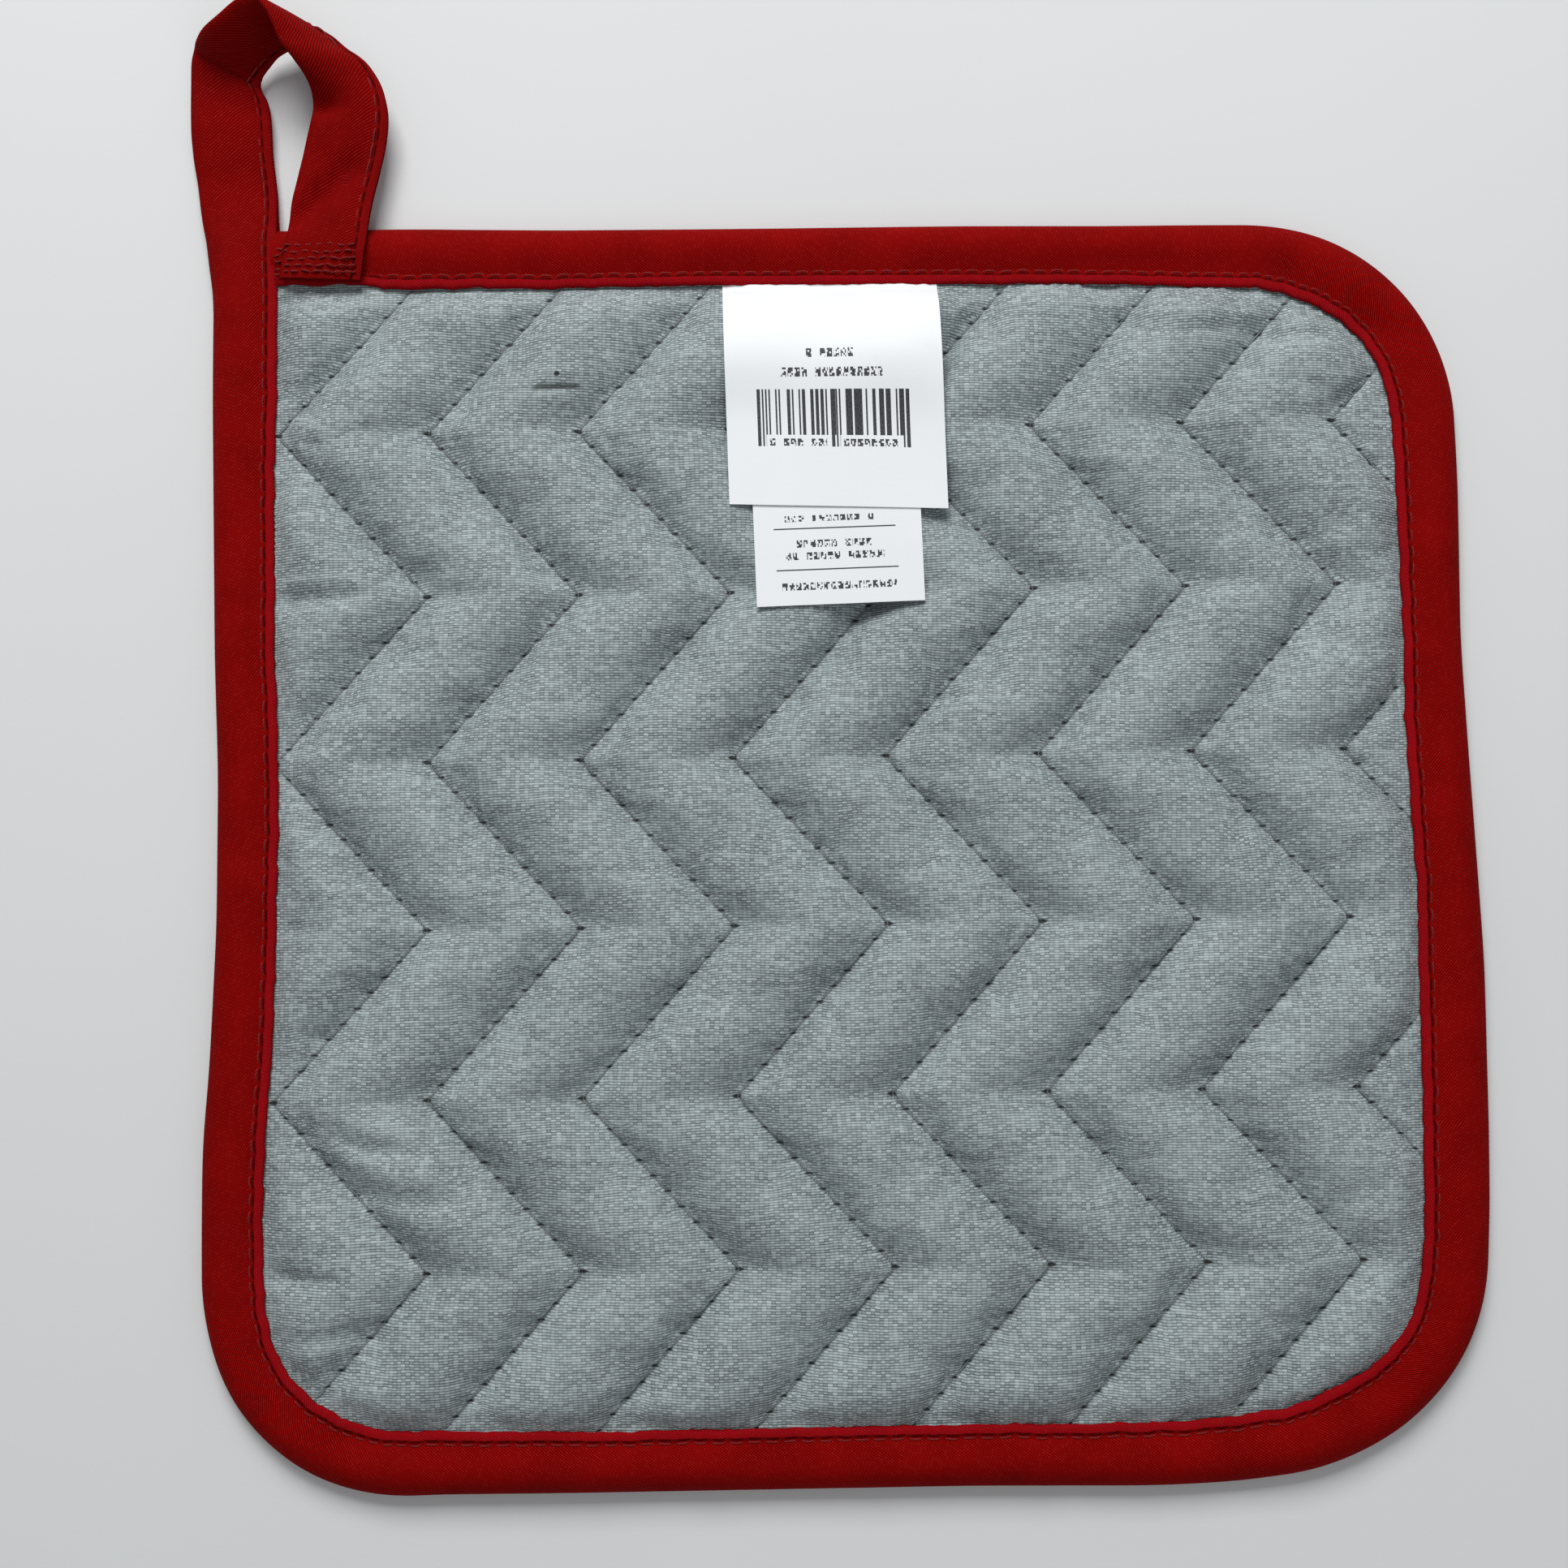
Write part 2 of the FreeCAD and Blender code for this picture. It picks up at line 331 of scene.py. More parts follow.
def smooth_noise(x: Array, y: Array, size: float, seed: int) -> Array:
    """Gentle unevenness between about -1 and 1, made of a few fixed waves.

    Args:
        x: first coordinate, in millimetres.
        y: second coordinate, in millimetres.
        size: rough length of one swell.
        seed: picks another pattern.

    Returns:
        One value for each point.
    """
    waves = 7
    rng = np.random.default_rng(seed)
    total = np.zeros_like(x, dtype=float)
    for _ in range(waves):
        angle, phase = rng.uniform(0, 2 * math.pi, 2)
        length = size * rng.uniform(0.7, 1.7)
        total += np.sin((x * math.cos(angle) + y * math.sin(angle)) * 2 * math.pi / length + phase)
    return total / (waves / 2)


def laid_grid(name: str, across: int, along: int, place: Placer, maps: dict[Map, Placer],
              keep: Placer | None = None, weld: bool = False, cap: bool = False) -> Piece:
    """A grid of cells, each corner put in place by a rule.

    Args:
        name: the piece's name.
        across: cells in the first direction.
        along: cells in the second direction.
        place: gives x, y, z in millimetres for shares 0 to 1 of the two directions.
        maps: a UV rule for each map, giving u, v in millimetres for the same shares.
        keep: tells which corners stay; a face with a corner that doesn't is cut away.
        weld: joins corners that meet, where the grid closes on itself.
        cap: closes the open ends left after welding.

    Returns:
        The new object, smooth shaded, with its normals pointing outwards.
    """
    bm = bmesh.new()
    bmesh.ops.create_grid(bm, x_segments=across, y_segments=along, size=0.5)
    flat = np.array([v.co for v in bm.verts])[:, :2] + 0.5
    points = place(flat[:, 0], flat[:, 1]) * MM
    layers = {}
    for which, rule in maps.items():
        layers[bm.loops.layers.uv.new(which.value)] = rule(flat[:, 0], flat[:, 1])
    bm.verts.index_update()
    for face in bm.faces:
        for loop in face.loops:
            for layer, values in layers.items():
                loop[layer].uv = values[loop.vert.index]
    for vert, point in zip(bm.verts, points):
        vert.co = point
    if keep is not None:
        stays = keep(flat[:, 0], flat[:, 1])
        gone = [v for v in bm.verts if not stays[v.index]]
        bmesh.ops.delete(bm, geom=gone, context="VERTS")
    if weld:
        bmesh.ops.remove_doubles(bm, verts=bm.verts, dist=WELD * MM)
        if cap:
            bmesh.ops.holes_fill(bm, edges=[e for e in bm.edges if e.is_boundary], sides=0)
        bmesh.ops.recalc_face_normals(bm, faces=bm.faces)
    mesh = bpy.data.meshes.new(name)
    bm.to_mesh(mesh)
    bm.free()
    mesh.shade_smooth()
    obj = bpy.data.objects.new(name, mesh)
    bpy.context.scene.collection.objects.link(obj)
    return obj


def face_up(obj: Piece, up: bool) -> None:
    """Turn an open sheet's faces over where they look the wrong way.

    Args:
        obj: the sheet.
        up: True where its outer face is the upper one.
    """
    if (obj.data.polygons[0].normal.z < 0) == up:
        obj.data.flip_normals()


def whole(share: Array, cells: int) -> Array:
    """Number of the grid corner that each share of the way stands for."""
    return np.rint(share * cells).astype(int)


def run_length(points: Array) -> Array:
    """Length along a line up to each of its points."""
    return np.concatenate(([0], np.cumsum(np.linalg.norm(np.diff(points, axis=0), axis=1))))


def at_needle(along: Array, stitch: float) -> Array:
    """1 at each needle hole of a row of stitches and 0 halfway between two."""
    return 0.5 + 0.5 * np.cos(2 * math.pi * along / stitch)


def vertex_points(obj: Piece) -> Array:
    """The object's vertices.

    Args:
        obj: the piece.

    Returns:
        Rows of x, y, z in millimetres.
    """
    co = np.zeros(len(obj.data.vertices) * 3)
    obj.data.vertices.foreach_get("co", co)
    return co.reshape(-1, 3) / MM


def set_vertex_points(obj: Piece, points: Array) -> None:
    """Move the object's vertices to these places, in millimetres."""
    obj.data.vertices.foreach_set("co", (points * MM).ravel())
    obj.data.update()


def give_thickness(obj: Piece, thickness: float, offset: float) -> None:
    """Finish a sheet with its cloth's thickness.

    Args:
        obj: the sheet.
        thickness: in millimetres.
        offset: -1 grows it behind its face, 1 before it.
    """
    solid = obj.modifiers.new("cloth_thickness", "SOLIDIFY")
    solid.thickness = thickness * MM
    solid.offset = offset
    solid.use_even_offset = False


def eased(at: Array, knots: list[float], values: list[float], blur: float = 9.0) -> Array:
    """Values between given knots, with the corners rounded off.

    Args:
        at: where the values are wanted.
        knots: places of the knots, rising.
        values: the values there.
        blur: half the width over which corners are rounded.

    Returns:
        One value for each place.
    """
    fine = np.arange(knots[0] - blur, knots[-1] + blur, 0.5)
    window = np.hanning(int(4 * blur) + 1)
    line = np.pad(np.interp(fine, knots, values), len(window) // 2, mode="edge")
    return np.interp(at, fine, np.convolve(line, window / window.sum(), mode="valid"))


def settle_shape(obj: Piece, sharp: float) -> None:
    """Make the modifiers' result the mesh, with its rims crisp.

    Args:
        obj: the piece.
        sharp: edges that turn more than this many degrees are sharp.
    """
    graph = bpy.context.evaluated_depsgraph_get()
    mesh = bpy.data.meshes.new_from_object(obj.evaluated_get(graph))
    obj.modifiers.clear()
    obj.data = mesh
    mesh.name = obj.name
    mesh.set_sharp_from_angle(angle=math.radians(sharp))


def smooth_path(points: Array, samples: int) -> Array:
    """A smooth line through given points.

    Args:
        points: the points, one row each.
        samples: how many points to return, evenly spaced by length.

    Returns:
        The sampled line.
    """
    padded = np.vstack((2 * points[0] - points[1], points, 2 * points[-1] - points[-2]))
    fine = []
    for i in range(1, len(padded) - 2):
        p0, p1, p2, p3 = padded[i - 1:i + 3]
        t = np.linspace(0, 1, 24, endpoint=False)[:, None]
        fine.append(0.5 * (2 * p1 + (p2 - p0) * t + (2 * p0 - 5 * p1 + 4 * p2 - p3) * t ** 2
                           + (3 * p1 - p0 - 3 * p2 + p3) * t ** 3))
    line = np.vstack(fine + [points[-1:]])
    reach = run_length(line[:, :6])
    wanted = np.linspace(0, reach[-1], samples)
    return np.column_stack([np.interp(wanted, reach, line[:, k]) for k in range(line.shape[1])])


def thread_tube(name: str, path: Array, radius: float, sides: int = 6) -> Piece:
    """A round thread along a path.

    Args:
        name: the piece's name.
        path: its middle line, in millimetres.
        radius: half its thickness.
        sides: faces round it.

    Returns:
        The closed tube, with a UV map of along and round.
    """
    steps = np.gradient(path, axis=0)
    steps /= np.linalg.norm(steps, axis=1)[:, None]
    side = np.cross(steps, np.array([0.0, 0.0, 1.0]))
    side /= np.maximum(np.linalg.norm(side, axis=1), 1e-6)[:, None]
    top = np.cross(side, steps)
    reach = run_length(path)
    last = len(path) - 1
    end_size = 0.3
    size = np.full(last + 1, radius)
    size[[0, last]] = radius * end_size

    def place(u: Array, v: Array) -> Array:
        """Ring by ring round the path."""
        i, t = whole(v, last), 2 * math.pi * u
        return path[i] + side[i] * (size[i] * np.cos(t))[:, None] + top[i] * (size[i] * np.sin(t))[:, None]

    def layout(u: Array, v: Array) -> Array:
        """Round and along, in millimetres."""
        return np.column_stack((u * 2 * math.pi * radius, np.interp(v * last, np.arange(last + 1), reach)))

    return laid_grid(name, sides, last, place, {Map.THREAD: layout}, weld=True, cap=True)


def join_pieces(parts: list[Piece], name: str) -> Piece:
    """Make several meshes one piece.

    Args:
        parts: the meshes.
        name: the piece's name.

    Returns:
        The piece.
    """
    if len(parts) > 1:
        with bpy.context.temp_override(active_object=parts[0], object=parts[0], selected_objects=parts,
                                       selected_editable_objects=parts):
            bpy.ops.object.join()
    parts[0].name = name
    parts[0].data.name = name
    return parts[0]


# ---------------------------------------------------------------- shader building


class Bench:
    """Adds shader nodes to one tree and joins them up."""

    def __init__(self, tree: Tree) -> None:
        """Work on this tree."""
        self.tree = tree

    def add(self, kind: str, **settings: object) -> bpy.types.Node:
        """Add a node and set its options.

        Args:
            kind: the node's type.
            settings: its options.

        Returns:
            The node.
        """
        node = self.tree.nodes.new(kind)
        for key, value in settings.items():
            setattr(node, key, value)
        return node

    def feed(self, socket: Socket, value: object) -> None:
        """Link a socket into another, or set its plain value.

        Args:
            socket: the input.
            value: a socket, a number or a colour.
        """
        if isinstance(value, Socket):
            self.tree.links.new(value, socket)
        elif isinstance(value, tuple) and len(value) == 3 and socket.type == "RGBA":
            socket.default_value = (*value, 1.0)
        else:
            socket.default_value = value

    def maths(self, operation: str, a: object, b: object = 0.0, c: object = 0.0,
              clamp: bool = False) -> Socket:
        """One Math node.

        Args:
            operation: what it works out.
            a: first value.
            b: second value.
            c: third value.
            clamp: True keeps the result from 0 to 1.

        Returns:
            The result.
        """
        node = self.add("ShaderNodeMath", operation=operation, use_clamp=clamp)
        for socket, value in zip(node.inputs, (a, b, c)):
            self.feed(socket, value)
        return node.outputs[0]

    def blend(self, factor: object, a: object, b: object) -> Socket:
        """Mix two colours.

        Args:
            factor: how much of the second.
            a: first colour.
            b: second colour.

        Returns:
            The mixed colour.
        """
        node = self.add("ShaderNodeMix", data_type="RGBA", clamp_factor=True)
        self.feed(node.inputs[0], factor)
        self.feed(node.inputs[6], a)
        self.feed(node.inputs[7], b)
        return node.outputs[2]

    def rise(self, value: object, low: float, high: float) -> Socket:
        """Smooth step from 0 at low to 1 at high.

        Args:
            value: what is looked at.
            low: where the step starts.
            high: where it ends.

        Returns:
            The step.
        """
        node = self.add("ShaderNodeMapRange", interpolation_type="SMOOTHSTEP", clamp=True)
        for key, number in (("Value", value), ("From Min", low), ("From Max", high)):
            self.feed(node.inputs[key], number)
        return node.outputs[0]

    def between(self, value: object, low: float, high: float, soft: float = 0.04) -> Socket:
        """1 between two limits and 0 outside, with a soft edge.

        Args:
            value: what is looked at.
            low: lower limit.
            high: upper limit.
            soft: half the width of the soft edge.

        Returns:
            The mask.
        """
        inside = self.rise(value, low - soft, low + soft)
        outside = self.rise(value, high - soft, high + soft)
        return self.maths("SUBTRACT", inside, outside, clamp=True)

    def noise(self, vector: object, scale: float, detail: float = 2.0) -> Socket:
        """Soft noise from 0 to 1.

        Args:
            vector: where.
            scale: swells in one unit of length.
            detail: how fine it gets.

        Returns:
            The noise.
        """
        node = self.add("ShaderNodeTexNoise")
        self.feed(node.inputs["Vector"], vector)
        node.inputs["Scale"].default_value = scale
        node.inputs["Detail"].default_value = detail
        return node.outputs[0]

    def dice(self, x: object, y: object = 0.0) -> Socket:
        """A random value for each whole-number cell.

        Args:
            x: first place.
            y: second place.

        Returns:
            The cell's value, from 0 to 1.
        """
        node = self.add("ShaderNodeTexWhiteNoise", noise_dimensions="2D")
        self.feed(node.inputs["Vector"], self.join(self.maths("FLOOR", x), self.maths("FLOOR", y)))
        return node.outputs["Value"]

    def split(self, vector: object) -> tuple[Socket, Socket]:
        """First and second coordinates of a vector.

        Args:
            vector: the vector.

        Returns:
            The two coordinates.
        """
        node = self.add("ShaderNodeSeparateXYZ")
        self.feed(node.inputs[0], vector)
        return node.outputs[0], node.outputs[1]

    def join(self, x: object, y: object, z: object = 0.0) -> Socket:
        """A vector from its coordinates.

        Args:
            x: first.
            y: second.
            z: third.

        Returns:
            The vector.
        """
        node = self.add("ShaderNodeCombineXYZ")
        for socket, value in zip(node.inputs, (x, y, z)):
            self.feed(socket, value)
        return node.outputs[0]

    def uv(self, which: Map) -> Socket:
        """One of the piece's UV maps."""
        return self.add("ShaderNodeUVMap", uv_map=which.value).outputs[0]

    def place(self, group: Tree, **values: object) -> bpy.types.Node:
        """Put in a shared node group with its own values.

        Args:
            group: the group.
            values: its inputs, by name.

        Returns:
            The group's node.
        """
        node = self.add("ShaderNodeGroup", node_tree=group)
        for key, value in values.items():
            self.feed(node.inputs[key.replace("_", " ").title()], value)
        return node

    def surface(self, colour: object, roughness: object, height: object = None, depth: float = 0.1,
                strength: float = 0.5, **plain: float) -> None:
        """The Principled shader and the material output.

        Args:
            colour: Base Color.
            roughness: Roughness.
            height: height for the bump, from 0 to 1.
            depth: what a height of 1 stands for, in millimetres.
            strength: strength of the bump.
            plain: constants for the shader's own sockets.
        """
        shader = self.add("ShaderNodeBsdfPrincipled")
        out = self.add("ShaderNodeOutputMaterial")
        self.feed(shader.inputs["Base Color"], colour)
        self.feed(shader.inputs["Roughness"], roughness)
        for key, value in plain.items():
            shader.inputs[key.replace("_", " ")].default_value = value
        if height is not None:
            bump = self.add("ShaderNodeBump")
            bump.inputs["Strength"].default_value = strength
            bump.inputs["Distance"].default_value = depth * MM
            self.feed(bump.inputs["Height"], height)
            self.feed(shader.inputs["Normal"], bump.outputs[0])
        self.feed(out.inputs[0], shader.outputs[0])


def new_material(name: str) -> tuple[bpy.types.Material, Bench]:
    """An empty material and the bench for its nodes.

    Args:
        name: the material's name.

    Returns:
        The material and its bench.
    """
    material = bpy.data.materials.new(name)
    material.use_nodes = True
    material.node_tree.nodes.clear()
    return material, Bench(material.node_tree)


def new_group(name: str, takes: dict[str, str],
              gives: list[str]) -> tuple[Tree, Bench, dict, dict]:
    """A shader node group with named sockets.

    Args:
        name: the group's name.
        takes: input names, each with its socket type.
        gives: names of its number outputs.

    Returns:
        The group, its bench, its input sockets and the sockets that its outputs are fed through.
    """
    group = bpy.data.node_groups.new(name, "ShaderNodeTree")
    for key, kind in takes.items():
        group.interface.new_socket(name=key, in_out="INPUT", socket_type=kind)
    for key in gives:
        group.interface.new_socket(name=key, in_out="OUTPUT", socket_type="NodeSocketFloat")
    bench = Bench(group)
    entry = bench.add("NodeGroupInput")
    leave = bench.add("NodeGroupOutput")
    return group, bench, {k: entry.outputs[k] for k in takes}, {k: leave.inputs[k] for k in gives}


def plain_weave_group() -> Tree:
    """Over-and-under weave: its height, a value for each yarn and a value for each crossing.

    Returns:
        The group.
    """
    takes = {"Place": "NodeSocketVector", "Warp": "NodeSocketFloat", "Weft": "NodeSocketFloat",
             "Slub": "NodeSocketFloat", "Ribbed": "NodeSocketFloat"}
    group, b, given, out = new_group("plain_weave", takes, ["Height", "Yarn", "Crossing"])
    x, y = b.split(given["Place"])
    wander_x = b.maths("MULTIPLY", b.maths("SUBTRACT", b.noise(given["Place"], 0.21), 0.5), given["Slub"])
    shifted = b.join(b.maths("ADD", x, 31.7), y)
    wander_y = b.maths("MULTIPLY", b.maths("SUBTRACT", b.noise(shifted, 0.17), 0.5), given["Slub"])
    xs = b.maths("ADD", b.maths("DIVIDE", x, given["Warp"]), wander_x)
    ys = b.maths("ADD", b.maths("DIVIDE", y, given["Weft"]), wander_y)
    a = b.maths("SINE", b.maths("MULTIPLY", xs, math.pi))
    c = b.maths("SINE", b.maths("MULTIPLY", ys, math.pi))
    warp_round = b.maths("ABSOLUTE", a)
    weft_round = b.maths("ABSOLUTE", c)
    warp_over = b.maths("GREATER_THAN", b.maths("MULTIPLY", a, c), 0.0)
    warp_bend = b.maths("MULTIPLY_ADD", weft_round, 0.4, 0.42)
    warp_high = b.maths("MULTIPLY", b.maths("POWER", warp_round, 0.6), warp_bend)
    weft_bend = b.maths("MULTIPLY_ADD", warp_round, 0.25, 0.75)
    weft_high = b.maths("MULTIPLY", b.maths("POWER", weft_round, 0.8), weft_bend)
    beaten_down = b.maths("SUBTRACT", b.maths("MULTIPLY", weft_high, 0.72), warp_high)
    warp_high = b.maths("MULTIPLY_ADD", b.maths("MULTIPLY", given["Ribbed"], 0.8), beaten_down, warp_high)
    gap = b.maths("SUBTRACT", warp_high, weft_high)
    b.feed(out["Height"], b.maths("MULTIPLY_ADD", warp_over, gap, weft_high))
    warp_tone = b.dice(xs, 7.0)
    weft_tone = b.dice(ys, 3.0)
    warp_seen = b.maths("MULTIPLY", warp_over, b.maths("SUBTRACT", 1.0, given["Ribbed"]))
    change = b.maths("SUBTRACT", warp_tone, weft_tone)
    b.feed(out["Yarn"], b.maths("MULTIPLY_ADD", warp_seen, change, weft_tone))
    b.feed(out["Crossing"], b.dice(xs, ys))
    return group


def twill_group() -> Tree:
    """Slanting twill ribs: their height and a value for each float of yarn.

    Returns:
        The group.
    """
    takes = {"Place": "NodeSocketVector", "Pitch": "NodeSocketFloat", "Float": "NodeSocketFloat"}
    group, b, given, out = new_group("twill", takes, ["Height", "Fleck"])
    x, y = b.split(given["Place"])
    wander = b.maths("MULTIPLY", b.noise(given["Place"], 0.3), 0.8)
    across = b.maths("ADD", b.maths("DIVIDE", b.maths("ADD", x, y), given["Pitch"]), wander)
    along = b.maths("DIVIDE", b.maths("SUBTRACT", x, y), given["Float"])
    staggered = b.maths("ADD", along, b.maths("MULTIPLY", b.maths("FLOOR", across), 0.37))
    rib = b.maths("ABSOLUTE", b.maths("SINE", b.maths("MULTIPLY", across, math.pi)))
    end = b.maths("ABSOLUTE", b.maths("SINE", b.maths("MULTIPLY", staggered, math.pi)))
    bound_down = b.maths("MULTIPLY_ADD", b.maths("POWER", end, 0.4), 0.5, 0.5)
    b.feed(out["Height"], b.maths("MULTIPLY", rib, bound_down))
    b.feed(out["Fleck"], b.dice(across, staggered))
    return group


def mottle_group() -> Tree:
    """Slow, uneven shading of a used cloth, around 0.5.

    Returns:
        The group.
    """
    takes = {"Place": "NodeSocketVector", "Size": "NodeSocketFloat"}
    group, b, given, out = new_group("mottle", takes, ["Shade"])
    x, y = b.split(given["Place"])
    scaled = b.join(b.maths("DIVIDE", x, given["Size"]), b.maths("DIVIDE", y, given["Size"]))
    b.feed(out["Shade"], b.noise(scaled, 1.0, 4.0))
    return group


# ---------------------------------------------------------------- finishes


@dataclass(frozen=True)
class SharedEffects:
    """The node groups that several finishes use.

    Args:
        weave: over-and-under weave.
        twill: slanting ribs.
        mottle: slow, uneven shading.
    """

    weave: Tree
    twill: Tree
    mottle: Tree


@dataclass(frozen=True)
class SilverCloth:
    """Silver-grey heat-resistant weave, heathered, with painted shade between its yarns and in the needle
    holes along the quilting.

    Args:
        light: colour of a raised yarn.
        dark: painted shade down between the yarns.
        bright: colour of the few palest crossings.
        hole: painted shade inside a needle hole and the pinhole.
        pitch: spacing of its yarns, in millimetres.
        tag_hole: pinhole left by a price tag's pin, in millimetres.
    """

    light: Colour = (0.452, 0.520, 0.532)
    dark: Colour = (0.034, 0.044, 0.046)
    bright: Colour = (0.60, 0.665, 0.68)
    hole: Colour = (0.012, 0.013, 0.012)
    pitch: float = 0.41
    tag_hole: tuple[float, float] = (-44.9, 76.0)

    def material(self, effects: SharedEffects) -> bpy.types.Material:
        """Build the finish.

        Args:
            effects: the shared node groups.

        Returns:
            The material.
        """
        material, b = new_material("silver_cloth")
        place = b.uv(Map.CLOTH)
        weave = b.place(effects.weave, place=place, warp=self.pitch * 1.8, weft=self.pitch, slub=1.2,
                        ribbed=1.0)
        shade = b.place(effects.mottle, place=place, size=14.0).outputs["Shade"]
        cell = b.maths("MULTIPLY", weave.outputs["Crossing"], 0.36)
        tone = b.maths("MULTIPLY_ADD", weave.outputs["Yarn"], 0.12, cell)
        lift = b.maths("MULTIPLY_ADD", weave.outputs["Height"], 0.95, tone)
        lift = b.maths("ADD", lift, b.maths("MULTIPLY_ADD", shade, 0.34, -0.33), clamp=True)
        # painted shade: the weave's low places take the dark colour and its raised yarns the light one,
        # mixed with the yarns' random tone and mottle
        cloth = b.blend(lift, self.dark, self.light)
        palest = b.maths("GREATER_THAN", weave.outputs["Crossing"], 0.94)
        cloth = b.blend(b.maths("MULTIPLY", palest, 0.18), cloth, self.bright)
        # painted shade in the needle holes and in the pinhole with its crease
        hole = b.maths("MAXIMUM", self.needle_hole_shade(b), self.pin_mark_shade(b, place))
        colour = b.blend(hole, cloth, self.hole)
        height = b.maths("SUBTRACT", weave.outputs["Height"], b.maths("MULTIPLY", hole, 2.0))
        b.surface(colour, 0.62, height, depth=0.12, strength=0.6, Sheen_Weight=0.06, Sheen_Roughness=0.5,
                  Specular_IOR_Level=0.35)
        return material

    def pin_mark_shade(self, b: Bench, place: Socket) -> Socket:
        """Painted shade in the pinhole and in the short crease pulled beneath it.

        Args:
            b: the material's bench.
            place: place on the cloth, in millimetres.

        Returns:
            The mask of the painted shade.
        """
        x, y = b.split(place)
        side = b.maths("SUBTRACT", x, self.tag_hole[0])
        rise = b.maths("SUBTRACT", y, self.tag_hole[1])
        far = b.maths("SQRT", b.maths("MULTIPLY_ADD", side, side, b.maths("MULTIPLY", rise, rise)))
        # painted shade in the pinhole, then in the crease pulled below it
        hole = b.maths("SUBTRACT", 1.0, b.rise(far, 0.25, 0.60))
        level = b.maths("ABSOLUTE", b.maths("ADD", b.maths("MULTIPLY_ADD", side, -0.05, rise), 1.9))
        thin = b.maths("SUBTRACT", 1.0, b.rise(level, 0.10, 0.75))
        short = b.maths("SUBTRACT", 1.0, b.rise(b.maths("ABSOLUTE", b.maths("ADD", side, 0.2)), 2.8, 4.6))
        return b.maths("MAXIMUM", hole, b.maths("MULTIPLY", b.maths("MULTIPLY", thin, short), 0.8))

    @staticmethod
    def needle_hole_shade(b: Bench) -> Socket:
        """Painted shade in small holes, one at each stitch, and a thin painted shadow between them.

        Args:
            b: the material's bench.

        Returns:
            The mask of the painted shade in the holes and of the painted shadow.
        """
        off, along = b.split(b.uv(Map.SEAM))
        shift = b.maths("PINGPONG", along, QUILT.stitch / 2)
        far = b.maths("SQRT", b.maths("MULTIPLY_ADD", off, off, b.maths("MULTIPLY", shift, shift)))
        corner = b.maths("SUBTRACT", 1.0, b.rise(b.maths("PINGPONG", along, QUILT.leg / 2), 0.3, 1.0))
        size = b.maths("SUBTRACT", far, b.maths("MULTIPLY", corner, 0.16))
        # painted shade in each needle hole, then a thin painted shadow along the line
        hole = b.maths("SUBTRACT", 1.0, b.rise(size, 0.16, 0.50))
        line = b.maths("SUBTRACT", 1.0, b.rise(b.maths("ABSOLUTE", off), 0.04, 0.40))
        crease = b.maths("MULTIPLY", line, 0.42)
        return b.maths("MAXIMUM", hole, crease)


